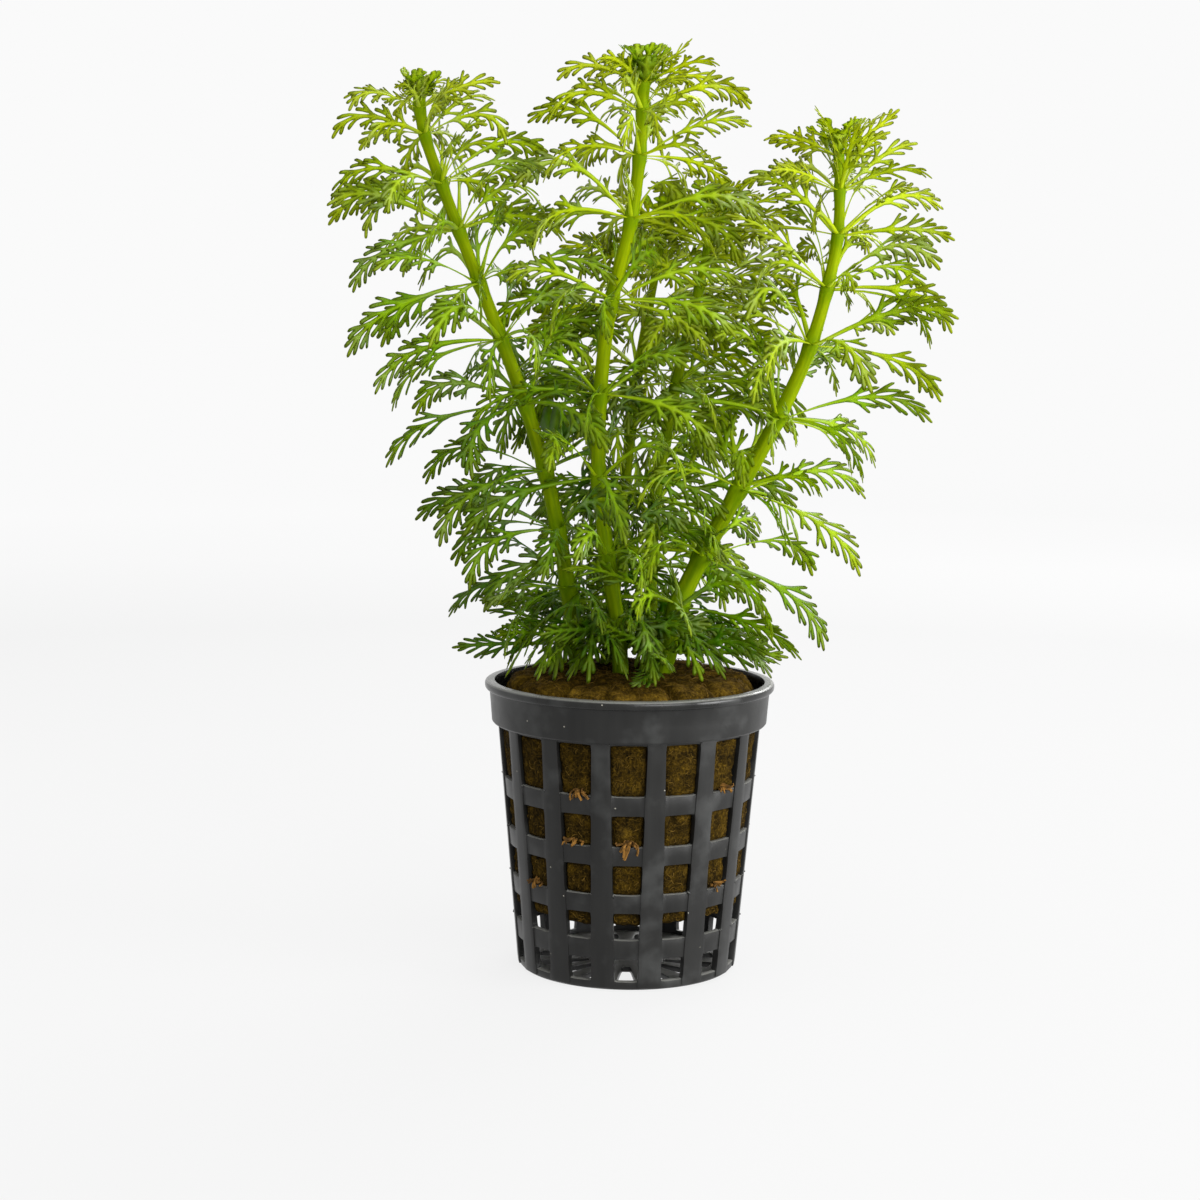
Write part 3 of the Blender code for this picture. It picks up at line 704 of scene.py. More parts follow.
apply_modifier(basket, "SOLIDIFY", thickness=POT_WALL * MM, offset=-1, use_even_offset=True)
enter_edit("FACE")
pillar_faces = pick("faces", on_pillar)
bpy.ops.mesh.extrude_region_shrink_fatten(TRANSFORM_OT_shrink_fatten={"value": PILLAR_STEP * MM})
pick("faces", on_lip_band)
bpy.ops.mesh.extrude_region_move()
grow = LIP_RADIUS / BAND_RADIUS
bpy.ops.transform.resize(value=(grow, grow, 1), center_override=(0, 0, 0))
bpy.ops.mesh.select_mode(type="EDGE")
pick("edges", lambda edge: all(abs(polar(v.co)[0] - LIP_RADIUS) < SLACK for v in edge.verts)
     and abs(edge.verts[0].co.z - edge.verts[1].co.z) < NEAR)
bpy.ops.mesh.bevel(offset=LIP_ROUNDING * MM, segments=4, profile=0.5, affect="EDGES")
apply_modifier(basket, "BEVEL", width=SOFT_EDGE * MM, segments=2, limit_method="ANGLE",
               angle_limit=math.radians(35), harden_normals=False)
select_only(basket)
bpy.ops.object.shade_smooth_by_angle(angle=math.radians(40))
settle(basket, polypropylene, "pot_plastic", "net_pot")
print(pillar_faces, "pillar faces; basket has", len(basket.data.polygons), "faces")

# %% [markdown]
# The plug is rockwool: brown mineral wool that growers wedge round the stems. It is lumpy, has
# dark clefts where it was folded round the cuttings, and presses a little into the windows. It
# is turned like the pot, subdivided fine enough for its lumps, and roughened by three displace
# modifiers (LUMPS gives the size and height of each). Then the clefts, each an angle, a depth
# and a width, and the swelling are laid on corner by corner.

# %% Rockwool plug
WOOL_SIDES = 150
WOOL_FOOT = 12.3
WOOL_GAP = 0.15

wool_side = [(wall_radius(z) - POT_WALL - WOOL_GAP, z) for z in np.linspace(13.0, 46.0, 34)]
wool_line = ([(0, WOOL_FOOT), (5, WOOL_FOOT), (10, WOOL_FOOT), (14, WOOL_FOOT), (17.5, WOOL_FOOT + 0.05),
              (19.2, WOOL_FOOT + 0.2)] + wool_side
             + [(23.2, 47.2), (23.4, 48.4), (23.5, 49.6), (23.5, 50.8), (23.5, 52.0), (23.4, 53.1),
                (23.1, 54.1), (22.5, 55.0), (21.6, 55.7), (20.4, 56.1), (19.0, 56.35), (17.2, 56.5),
                (15.2, 56.6), (13.2, 56.7), (11.6, 56.75), (10, 56.8), (8, 56.85), (6, 56.9),
                (4, 56.9), (2, 56.9), (0, 56.9)])
plug = turn_profile("wool_plug", wool_line, 0, ((2 * math.pi, WOOL_SIDES),))
bpy.ops.mesh.select_all(action="SELECT")
bpy.ops.mesh.remove_doubles(threshold=0.01 * MM)
bpy.ops.mesh.normals_make_consistent(inside=False)
bpy.ops.mesh.subdivide(number_cuts=1)
select_only(plug)
print("plug of", len(plug.data.polygons), "faces")


# %% Lumps, clefts and swelling of the wool
CLEFTS = ((-34, 1.6, 2.2), (-12, 1.0, 1.5), (21, 1.5, 2.0), (47, 1.2, 2.4), (83, 1.8, 2.6),
          (128, 1.4, 2.2), (170, 1.7, 2.4), (-150, 1.3, 2.0), (-108, 1.8, 2.6), (-71, 1.3, 2.2))
EDGE_LEVEL, EDGE_HEIGHT = 49, 4
CORE_RADIUS, CORE_FADE = 12, 7
SWELLING = 0.70
WALL_GAP = 0.12
LUMPS = ((6.0, 1.3), (1.9, 0.9), (0.9, 0.6))


def smooth_step(value):
    """Nothing below zero, one above one, and smooth between."""
    value = min(max(value, 0), 1)
    return value * value * (3 - 2 * value)


def window_share(z, angle):
    """How far a place is inside a window: nothing at its edge, one well inside."""
    column = (angle + COLUMN_ANGLE / 2) % COLUMN_ANGLE - COLUMN_ANGLE / 2
    across = (half_window(z) - abs(column)) * wall_radius(z)
    up = max(min(top - z, z - foot) for top, foot in WINDOW_ROWS)
    return smooth_step(across / 0.30) * smooth_step(up / 0.32)


def rough(radius, z, angle):
    """Cuts the clefts into the top edge, swells the wool into the windows and keeps it in the pot."""
    for degrees, depth, width in CLEFTS:
        off = math.radians((math.degrees(angle) - degrees + 180) % 360 - 180)
        across = math.exp(-(off * radius / (0.42 * width)) ** 2)
        high = smooth_step((z - EDGE_LEVEL) / EDGE_HEIGHT) * smooth_step((radius - CORE_RADIUS) / CORE_FADE)
        radius -= depth * across * high
        z -= 0.8 * depth * across * high * smooth_step((z - EDGE_LEVEL - 3) / 3)
    if z < 47:
        swelling = SWELLING * window_share(z, angle)
        radius = min(radius + swelling, wall_radius(z) - POT_WALL - WALL_GAP + swelling)
    return radius, max(z, WOOL_FOOT - 0.15), angle


for size, strength in LUMPS:
    lumps = bpy.data.textures.new("wool_lumps", "CLOUDS")
    lumps.noise_scale = size * MM
    lumps.noise_depth = 2
    apply_modifier(plug, "DISPLACE", texture=lumps, strength=strength * MM, mid_level=0.5,
                   texture_coords="LOCAL")
move_corners(plug, rough)
bpy.ops.object.shade_smooth()
settle(plug, rockwool, "rockwool", "rockwool_plug")

# %% [markdown]
# A whorl is a ring of leaves at one height of a stem. In the frame each leaf is a kite: four
# corners at the stem, a left and a right corner and a raised rib at its widest, and a tip. The
# tip is the only corner with just three neighbours, and from it the others are found, so that
# each modelled leaf can be laid exactly along its kite.


# %% Read the whorls from the frame
RING_GAP = 0.3 * MM


def corner_links(node):
    """Each corner of a node's mesh, with the set of corners that it shares an edge with."""
    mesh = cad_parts[node].data
    links = {}
    for face in mesh.polygons:
        ring = [tuple(round(value, 7) for value in mesh.vertices[i].co) for i in face.vertices]
        for here, there in zip(ring, ring[1:] + ring[:1]):
            links.setdefault(here, set()).add(there)
            links.setdefault(there, set()).add(here)
    return links


def read_kite(tip, links):
    """One leaf's base, widest place, tip and sideways direction, and the kite's own corners."""
    def off_middle(corner):
        left, right = [Vector(other) for other in links[tip] if other != corner]
        return (Vector(corner) - (left + right) / 2).length

    rib = min(sorted(links[tip]), key=off_middle)
    left, right = sorted(links[tip] - {rib})
    base_corners = [Vector(corner) for corner in links[rib] - {tip, left, right}]
    base = sum(base_corners, Vector()) / len(base_corners)
    middle = (Vector(left) + Vector(right)) / 2
    side = Vector(left) - Vector(right)
    if (middle - base).cross(side).dot(Vector(rib) - middle) < 0:
        side = -side
    kite = {"base": base, "middle": middle, "tip": Vector(tip), "side": side.normalized()}
    return kite, {tip, rib, left, right}


def read_whorl(node):
    """A whorl's centre, the stem's radius there, and its leaves."""
    links = corner_links(node)
    kites = []
    leafy = set()
    for tip in sorted(corner for corner in links if len(links[corner]) == 3):
        kite, corners = read_kite(tip, links)
        kites.append(kite)
        leafy |= corners
    hub = [Vector(corner) for corner in sorted(set(links) - leafy)]
    centre = sum(hub, Vector()) / len(hub)
    inner = min((corner - centre).length for corner in hub)
    return {"node": node, "centre": centre, "radius": inner - RING_GAP, "leaves": kites}


STEM_NAMES = ("left", "right", "centre", "back_right", "back_left")
whorls = {}
for stem in STEM_NAMES:
    nodes = sorted(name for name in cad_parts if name.startswith(f"whorl_{stem}_"))
    whorls[stem] = [read_whorl(node) for node in nodes if node[len(f"whorl_{stem}_")].isdigit()]
leaf_count = sum(len(whorl["leaves"]) for stem in STEM_NAMES for whorl in whorls[stem])
print({stem: len(whorls[stem]) for stem in STEM_NAMES}, "whorls with", leaf_count, "leaves")

# %% [markdown]
# A limnophila stem is round and juicy, with a slight swelling at each node where the ring of
# leaf stalks springs. A curve with a round bevel does this well: its points follow the stem in
# the frame and each carries its own radius. Made into a mesh, it also keeps how far each corner
# is along the stem, so that the finish can draw its streaks lengthwise.


# %% Lines up the stems
def stem_end(node, highest):
    """The middle and radius of a stem's end ring in the frame."""
    places = [vert.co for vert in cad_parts[node].data.vertices]
    limit = max(place.z for place in places) if highest else min(place.z for place in places)
    ring = [place for place in places if abs(place.z - limit) < 2 * MM]
    middle = sum(ring, Vector()) / len(ring)
    return middle, max((place - middle).length for place in ring)


def hermite(places, count):
    """Points at even shares along a smooth line through places, as rows."""
    rows = np.array(places)
    gaps = np.linalg.norm(np.diff(rows, axis=0), axis=1)
    walked = np.concatenate(([0], np.cumsum(gaps)))
    slopes = np.gradient(rows, walked, axis=0)
    share = np.linspace(0, walked[-1], count)
    index = np.clip(np.searchsorted(walked, share, side="right") - 1, 0, len(gaps) - 1)
    t = ((share - walked[index]) / gaps[index])[:, None]
    gap = gaps[index][:, None]
    line = ((2 * t**3 - 3 * t**2 + 1) * rows[index] + (t**3 - 2 * t**2 + t) * gap * slopes[index]
            + (3 * t**2 - 2 * t**3) * rows[index + 1] + (t**3 - t**2) * gap * slopes[index + 1])
    return line, share


print("stem lines run from the foot through each ring of leaves to the tip")

# %% Stems
NODE_SWELLING = 0.22
SWELLING_REACH = 1.7 * MM
STEM_TAPER = 1.1
TIP_ROUNDING = 1.6 * MM
STEM_STEP = 0.9 * MM
NODE_SHADE_REACH = 2.6 * MM


def keep_on_corners(piece, name, kind, rows):
    """Stores a vector or a colour on every corner, for the finish to read."""
    layer = piece.data.attributes.new(name, kind, "POINT")
    field = {"FLOAT_VECTOR": "vector", "FLOAT_COLOR": "color"}[kind]
    layer.data.foreach_set(field, rows.astype(np.float32).ravel())


def model_stem(stem):
    """One stem as a mesh tube, with its straight-line coordinates kept on its corners."""
    foot, foot_radius = stem_end(f"stem_{stem}", False)
    tip, tip_radius = stem_end(f"stem_{stem}", True)
    nodes = sorted((whorl["centre"] for whorl in whorls[stem]), key=lambda place: place.z)
    places = [foot, *nodes, tip]
    count = round((tip.z - foot.z) / STEM_STEP)
    line, walked = hermite(places, count)
    share = walked / walked[-1]
    radii = foot_radius + (tip_radius - foot_radius) * share**STEM_TAPER
    for place in nodes:
        off = np.linalg.norm(line - np.array(place), axis=1)
        radii = radii * (1 + NODE_SWELLING * np.exp(-(off / SWELLING_REACH) ** 2))
    to_end = np.clip((walked[-1] - walked) / TIP_ROUNDING, 0.02, 1)
    radii = radii * np.sqrt(1 - (1 - to_end) ** 2)
    bpy.ops.curve.primitive_nurbs_path_add()
    curve = bpy.context.object
    curve.name = f"{stem}_stem"
    curve.data.name = curve.name
    spline = curve.data.splines.new("POLY")
    curve.data.splines.remove(curve.data.splines[0])
    spline.points.add(count - 1)
    spline.points.foreach_set("co", np.hstack([line, np.ones((count, 1))]).ravel())
    spline.points.foreach_set("radius", radii)
    curve.data.bevel_depth = 1
    curve.data.bevel_resolution = 6
    curve.data.use_fill_caps = True
    select_only(curve)
    bpy.ops.object.convert(target="MESH")
    tube = bpy.context.object
    corners = np.array([vert.co for vert in tube.data.vertices])
    nearest = np.linalg.norm(corners[:, None] - line[None], axis=2).argmin(axis=1)
    off = corners - line[nearest]
    straight = np.stack([off[:, 0], off[:, 1], walked[nearest]], axis=1)
    keep_on_corners(tube, "straight", "FLOAT_VECTOR", straight)
    near_node = np.min([np.linalg.norm(corners - np.array(place), axis=1) for place in nodes], axis=0)
    # The share of painted shade round a node, falling off with the distance from the nearest node.
    collar = np.exp(-(near_node / NODE_SHADE_REACH) ** 2)
    height = share[nearest]
    marks = np.stack([collar, height, height * 0, height * 0 + 1], axis=1)
    keep_on_corners(tube, "marks", "FLOAT_COLOR", marks)
    bpy.ops.object.shade_smooth()
    settle(tube, juicy_stem, "stem", f"stem_{stem}")
    return tube


stems = [model_stem(stem) for stem in STEM_NAMES]
print({tube.name: len(tube.data.polygons) for tube in stems}, "faces")

# %% [markdown]
# A limnophila leaf is a feather: a thin stalk, then pairs of side blades that fork into blunt
# fingers about 0.8 mm wide. It could be a cut-out picture, but the outline has to hold from
# every side, so it is modelled as a flat sheet. One edge is extruded along the midrib, and from
# the edges of that strip the side blades and their fingers are extruded in turn.

# %% Grow strips by extruding edges
LEAF_LENGTH = 24 * MM


def pick_edge(ends):
    """Selects the edge between two places."""
    pick("verts", lambda vert: any((vert.co - end).length < NEAR for end in ends))


def extend(heading, length, half_width, rise):
    """Extrudes the chosen edge along a heading, square to it, and returns its left and right end."""
    ends = picked_places()
    along = ends[1] - ends[0]
    move = Vector((math.cos(heading), math.sin(heading), 0)) * length + Vector((0, 0, rise))
    middle = (ends[0] + ends[1]) / 2 + move
    bpy.ops.mesh.extrude_region_move(TRANSFORM_OT_translate={"value": move})
    turn = (heading + math.pi / 2 - math.atan2(along.y, along.x)) % math.pi
    if turn > math.pi / 2:
        turn -= math.pi
    bpy.ops.transform.rotate(value=-turn, orient_axis="Z", center_override=middle)
    size = 2 * half_width / along.length
    bpy.ops.transform.resize(value=(size, size, size), center_override=middle)
    one, other = picked_places()
    ahead = Vector((math.cos(heading), math.sin(heading), 0))
    return (one, other) if ahead.cross(one - middle).z > 0 else (other, one)


def grow_strip(ends, heading, steps):
    """Extrudes an edge through steps of length, half width, turn and rise, and returns its rungs."""
    pick_edge(ends)
    rungs = [ends]
    for length, half_width, turn, rise in steps:
        heading += turn
        rungs.append(extend(heading, length, half_width, rise))
    return rungs


print("leaf strips grow by extruding an edge")

# %% [markdown]
# Each side blade has a run, then a landing from whose side a finger grows, and so on to its own
# rounded end. Fingers sit by turns behind and ahead of the blade. Small random turns and rises
# keep the sheet from looking stamped, and they are seeded, so the leaf is the same each time.


# %% Fingers and side blades
BLUNT = 1.22
FINGER_LEANS, FINGER_RISES, FINGER_REACHES = (22, 32), (-0.30, 0.22), (0.42, 0.52)
FINGER_CURL = math.radians(8)
BLADE_BENDS, BLADE_DROPS = (2, 8), (-0.24, 0.12)
BLADE_RUN = 0.32


def grow_finger(rungs, place, side, heading, length, half, chance):
    """One finger from the side of a blade's landing."""
    ends = (rungs[place][side], rungs[place + 1][side])
    sign = 1 if side == 0 else -1
    lean = heading + sign * math.radians(chance.uniform(*FINGER_LEANS))
    rise = chance.uniform(*FINGER_RISES) * length
    grow_strip(ends, lean, ((length, half * BLUNT, -sign * FINGER_CURL, rise),))


def grow_blade(ends, side, heading, length, fingers, half, chance):
    """One side blade of a leaf with its fingers, which alternate from the side near the stem."""
    sign = 1 if side == 0 else -1
    bend = -sign * math.radians(chance.uniform(*BLADE_BENDS))
    drop = chance.uniform(*BLADE_DROPS) * length
    landing = 2.2 * half
    steps = [(BLADE_RUN * length, half * 0.88, 0, drop * 0.3)]
    left_over = (1 - BLADE_RUN) * length - fingers * landing
    for _ in range(fingers):
        steps.append((landing, half * 0.95, bend, drop * 0.2))
    if fingers:
        left_over /= 2
        steps.append((left_over, half, bend, drop * 0.25))
    steps.append((left_over, half * BLUNT, bend, drop * 0.25))
    rungs = grow_strip(ends, heading, steps)
    for index in range(fingers):
        finger_side = side if index % 2 == 0 else 1 - side
        reach = length * chance.uniform(*FINGER_REACHES) * (1 - 0.15 * index)
        grow_finger(rungs, 1 + index, finger_side, heading, reach, half, chance)


print("side blades and fingers grow from the midrib's landings")

# %% [markdown]
# A leaf in the bud has two pairs of broad blades and an old one four or five narrow pairs, so
# five patterns are modelled once and copied to every place on the plant. Three of them are
# full-grown with different cuts, so that neighbours in a ring differ. The midrib is extruded
# first, with a landing for each pair of blades. Stalks are a share of the leaf's length, and
# blades and half widths are in millimetres.

# %% Leaf patterns
PATTERNS = {
    "full_a": {"stalk": 0.40, "blades": (4.7, 4.8, 4.2, 3.4, 2.5), "fingers": (2, 1, 1, 0, 0),
               "half": 0.40, "spread": (34, 18), "seed": 3},
    "full_b": {"stalk": 0.45, "blades": (4.9, 4.8, 4.0, 2.9), "fingers": (1, 1, 1, 0),
               "half": 0.42, "spread": (33, 18), "seed": 8},
    "full_c": {"stalk": 0.37, "blades": (4.2, 4.9, 4.4, 3.6, 2.6), "fingers": (1, 1, 1, 0, 0),
               "half": 0.39, "spread": (35, 18), "seed": 12},
    "young": {"stalk": 0.26, "blades": (4.8, 5.0, 4.3, 3.2), "fingers": (1, 1, 0, 0),
              "half": 0.48, "spread": (31, 18), "seed": 21},
    "bud": {"stalk": 0.14, "blades": (7.0, 6.0), "fingers": (0, 0),
            "half": 2.6, "spread": (46, 28), "seed": 30},
}
STALK_HALVES = (0.45 * MM, 0.33 * MM)


def midrib_steps(stalk, count, half):
    """The midrib's steps: two along the stalk, then a landing and a gap for each pair of blades."""
    pitch = (0.93 - stalk) * LEAF_LENGTH / count
    landing = 2.3 * half
    steps = [(0.5 * stalk * LEAF_LENGTH, stalk_half, 0, 0) for stalk_half in STALK_HALVES]
    for index in range(count):
        shrink = 1.12 - 0.24 * index / (count - 1)
        steps.append((landing, half, 0, 0))
        steps.append((pitch * shrink - landing, half * 0.85, 0, 0))
    steps.append((0.07 * LEAF_LENGTH, half, 0, 0))
    return steps


def model_sheet(name, stalk, blades, fingers, half, spread, seed):
    """The flat sheet of one leaf, its stalk's foot at the origin and its tip along +X."""
    chance = random.Random(seed)
    half = half * MM
    bpy.ops.mesh.primitive_plane_add(size=1.0 * MM, location=(0.5 * MM, 0, 0))
    sheet = start_piece(name)
    enter_edit("VERT")
    foot = (Vector((1.0, 0.5, 0)) * MM, Vector((1.0, -0.5, 0)) * MM)
    rungs = grow_strip(foot, 0, midrib_steps(stalk, len(blades), half))
    for index, (length, number) in enumerate(zip(blades, fingers)):
        lean = math.radians(spread[0] + (spread[1] - spread[0]) * index / (len(blades) - 1))
        for side in (0, 1):
            sign = 1 if side == 0 else -1
            ends = (rungs[2 + 2 * index][side], rungs[3 + 2 * index][side])
            heading = sign * (lean + math.radians(chance.uniform(-6, 6)))
            reach = length * MM * chance.uniform(0.86, 1.10)
            grow_blade(ends, side, heading, reach, number, half, chance)
    select_only(sheet)
    return sheet


patterns = {name: model_sheet(name, **cut) for name, cut in PATTERNS.items()}
print({name: len(sheet.data.polygons) for name, sheet in patterns.items()}, "faces a sheet")

# %% [markdown]
# The sheet still needs body. One round of subdivision rounds the fingers. Solidify then parts the
# inner corners only, because a vertex group leaves the rim out, and the two rims are merged. Each
# finger becomes a thin cushion, as on the real leaf, with half the faces of a sheet with a wall
# round its edge. Four marks are kept on each corner for the colours: how near it is to a finger's
# tip, whether it is on the rim, how fresh it is, which stalk and midrib are most, and its age.

# %% Thicken the patterns
LEAF_THICKNESS = 0.26 * MM
TIP_FADE = 1.5 * MM
MIDRIB_FADE = 0.7 * MM
MIDRIB_FRESHNESS = 0.45
MERGE = 0.002 * MM


def finger_ends(sheet):
    """The corners at the ends of fingers, which belong to one face only."""
    uses = np.zeros(len(sheet.data.vertices), int)
    for face in sheet.data.polygons:
        uses[list(face.vertices)] += 1
    corners = [sheet.data.vertices[i].co.copy() for i in np.flatnonzero(uses == 1)]
    return np.array([corner for corner in corners if corner.x > 0.1 * LEAF_LENGTH])


def thicken(sheet):
    """Turns the flat sheet into a closed thin cushion with a sharp rim."""
    apply_modifier(sheet, "SUBSURF", levels=1, render_levels=1)
    enter_edit("VERT")
    pick("verts", lambda vert: not vert.is_boundary)
    bpy.ops.object.vertex_group_add()
    bpy.ops.object.vertex_group_assign()
    group = sheet.vertex_groups[0]
    apply_modifier(sheet, "SOLIDIFY", thickness=LEAF_THICKNESS, offset=0, use_rim=False,
                   vertex_group=group.name)
    enter_edit("VERT")
    bpy.ops.mesh.select_all(action="SELECT")
    bpy.ops.mesh.remove_doubles(threshold=MERGE)
    bpy.ops.mesh.normals_make_consistent(inside=False)
    select_only(sheet)
    bpy.ops.object.shade_smooth()


def mark(sheet, ends, stalk):
    """Writes tip, rim, freshness and a place for age, each from 0 to 1, on every corner."""
    places = np.array([vert.co for vert in sheet.data.vertices])
    inside = np.array([len(vert.groups) > 0 for vert in sheet.data.vertices])
    to_end = np.linalg.norm(places[:, None] - ends[None], axis=2).min(axis=1)
    marks = np.zeros((len(places), 4))
    marks[:, 0] = np.exp(-(to_end / TIP_FADE) ** 2)
    marks[:, 1] = ~inside
    midrib = MIDRIB_FRESHNESS * np.exp(-(np.abs(places[:, 1]) / MIDRIB_FADE) ** 2)
    marks[:, 2] = np.maximum(midrib, np.clip(1.25 - places[:, 0] / (stalk * LEAF_LENGTH), 0, 1))
    sheet.vertex_groups.clear()
    keep_on_corners(sheet, "marks", "FLOAT_COLOR", marks)


for name, sheet in patterns.items():
    ends = finger_ends(sheet)
    thicken(sheet)
    mark(sheet, ends, PATTERNS[name]["stalk"])
print({name: len(sheet.data.polygons) for name, sheet in patterns.items()}, "faces a leaf")

# %% [markdown]
# Every leaf is a copy of a pattern bent along its kite: up from the stem to its widest place and
# over to the tip. A hand would use a curve modifier for each, but with more than six hundred
# leaves the same bend is quicker as arithmetic on the corners of each copy. A little roll and
# sway, seeded per leaf, keeps the rings from looking machine made.

# %% Bend a copy of a pattern along a kite
BEND_STEPS = 24
STALK_SHARE = 0.35
corner_places = {name: np.array([vert.co for vert in sheet.data.vertices])
                 for name, sheet in patterns.items()}


def unit(rows):
    """Each row at a length of one."""
    return rows / np.linalg.norm(rows, axis=-1, keepdims=True)


def bend_frames(start, middle, tip, side, roll, sway):
    """Places and directions at even distances along a leaf, and its length."""
    start, middle, tip, side = (np.array(place) for place in (start, middle, tip, side))
    share = np.linspace(0, 1, BEND_STEPS + 1)[:, None]
    control = 2 * middle - (start + tip) / 2
    line = (1 - share) ** 2 * start + 2 * share * (1 - share) * control + share**2 * tip
    line = line + side * sway * np.sin(math.pi * share)
    walked = np.concatenate(([0], np.cumsum(np.linalg.norm(np.diff(line, axis=0), axis=1))))
    even = np.linspace(0, walked[-1], BEND_STEPS + 1)
    line = np.stack([np.interp(even, walked, line[:, axis]) for axis in range(3)], axis=1)
    ahead = unit(np.gradient(line, axis=0))
    beside = unit(side - (ahead @ side)[:, None] * ahead)
    above = np.cross(ahead, beside)
    angle = roll * np.minimum(share / STALK_SHARE, 1)
    beside, above = (beside * np.cos(angle) + above * np.sin(angle),
                     above * np.cos(angle) - beside * np.sin(angle))
    return line, beside, above, walked[-1]


def bent(places, frames, width):
    """A pattern's corners, moved from its straight axis to the leaf's own."""
    line, beside, above, length = frames
    along = np.clip(places[:, 0] / LEAF_LENGTH, 0, 1) * BEND_STEPS
    step = np.minimum(along.astype(int), BEND_STEPS - 1)
    part = (along - step)[:, None]

    def at(rows):
        return rows[step] * (1 - part) + rows[step + 1] * part

    past = (places[:, :1] - LEAF_LENGTH).clip(0)
    ahead = unit(line[-1] - line[-2])
    return (at(line) + at(beside) * places[:, 1:2] * width + at(above) * places[:, 2:] * width
            + ahead * past * length / LEAF_LENGTH)


print("bending in", BEND_STEPS, "steps a leaf")

# %% [markdown]
# The newest leaves stand close round the tip, short and bright. Further down they are longer,
# darker and cut more finely. A leaf is turned about its own stalk, but less in a bud, and less
# where that would press it into the wool or the rim below. Its length chooses its pattern, and
# a short leaf is broader for its length than a long one.

# %% Place one leaf
BUD_LENGTH, YOUNG_LENGTH = 6.5 * MM, 18 * MM
FULL_PATTERNS = ("full_a", "full_b", "full_c")
WIDTH_POWERS = {"full_a": 0.6, "full_b": 0.6, "full_c": 0.6, "young": 0.45, "bud": 0.8}
AGE_SPREAD = 0.14
RIM_MARK, AGE_MARK = 1, 3
INSIDE_STEM = 0.6
ROLLS = (32, 74)
BUD_ROLL = 0.3
SWAY = 0.06
WOOL_LEVEL = 57.3 * MM
HALF_LEAF = 3.0 * MM


def set_mark(leaf, which, rule):
    """Changes one of the four marks on every corner of a leaf."""
    layer = leaf.data.attributes["marks"]
    marks = np.empty(len(leaf.data.vertices) * 4, np.float32)
    layer.data.foreach_get("color", marks)
    marks[which::4] = rule(marks[which::4])
    layer.data.foreach_set("color", marks)


def copy_leaf(name, frames, age, chance):
    """A bent copy of a pattern with its age written on it."""
    leaf = copy_piece(patterns[name])
    width = (frames[3] / LEAF_LENGTH) ** WIDTH_POWERS[name]
    leaf.data.vertices.foreach_set("co", bent(corner_places[name], frames, width).ravel())
    own_age = min(max(age + chance.uniform(-AGE_SPREAD, AGE_SPREAD), 0), 1)
    set_mark(leaf, AGE_MARK, lambda _: own_age)
    return leaf


def lay_leaf(kite, centre, radius, age, chance):
    """One leaf of a ring, as an object of its own."""
    outward = (kite["base"] - centre).normalized()
    start = centre + outward * radius * INSIDE_STEM
    reach = (kite["tip"] - start).length
    if reach < YOUNG_LENGTH:
        name = "bud" if reach < BUD_LENGTH else "young"
    else:
        name = chance.choice(FULL_PATTERNS)
    room = min(kite["middle"].z, kite["tip"].z) - WOOL_LEVEL
    most = math.asin(min(max(room / HALF_LEAF, 0.12), 1))
    roll = chance.choice((-1, 1)) * min(math.radians(chance.uniform(*ROLLS)), most)
    roll *= BUD_ROLL if name == "bud" else 1
    sway = chance.uniform(-SWAY, SWAY) * reach
    frames = bend_frames(start, kite["middle"], kite["tip"], kite["side"], roll, sway)
    return copy_leaf(name, frames, age, chance)


print("leaves are", LEAF_THICKNESS / MM, "mm thick")

# %% [markdown]
# The frame holds the larger half of each ring's leaves. The rest are laid between them, by turns
# steeper and lower than their neighbours, and a node becomes the burst of spokes that it is on
# the plant. Most stand behind the stems, which are left in view at the front. The two rings
# under a bud's get some short steep leaves, and one tall leaf stands beside the middle bud.
# Rings near the wool also get leaves that arch over and droop onto it, which hide the stems' feet.

# %% Leaves between the frame's
BACK_SHARE, SIDE_SHARE, FRONT_SHARE = 0.85, 0.10, 0.20
THIN_BELOW, THINNED = 100 * MM, 0.42
BASE_LEVEL = 66 * MM
CROWN_RINGS, CROWN_SHARE = (2, 3), 0.5
CROWN_LIFT, CROWN_LENGTHS = math.radians(30), (0.42, 0.62)
STEEPER, LOWER = math.radians(30), math.radians(-22)
STEEPEST, LOWEST = math.radians(74), math.radians(-40)
FILL_LENGTHS = (0.74, 0.95)
ARCH_COUNT = 9
ARCH_LENGTHS = (9 * MM, 24 * MM)
ARCH_RISES = (0.12, 0.30)
ARCH_HEIGHTS = (0.2, 1.8)
FILL_WOBBLE = 9
TALL_STEM, TALL_TIP = "centre", Vector((9.6, -9.8, 173.2)) * MM


def halfway(one, other, centre, lift, share):
    """A leaf between two others, turned up by an angle and shortened to a share."""
    spokes = {}
    for part in ("base", "middle", "tip"):
        first, second = one[part] - centre, other[part] - centre
        ahead = (first.normalized() + second.normalized()).normalized()
        spokes[part] = ahead * (first.length + second.length) / 2 * share
    tip = spokes["tip"]
    slope = math.asin(tip.z / tip.length)
    level = min(max((WOOL_LEVEL - centre.z) / tip.length, -1), 0.9)
    lowest = max(LOWEST, math.asin(level))
    turned = min(max(slope + lift, lowest), STEEPEST) - slope
    across = tip.cross(Vector((0, 0, 1))).normalized()
    turn_up = Matrix.Rotation(turned, 3, across)
    kite = {part: centre + turn_up @ spoke for part, spoke in spokes.items()}
    kite["side"] = -across
    return kite


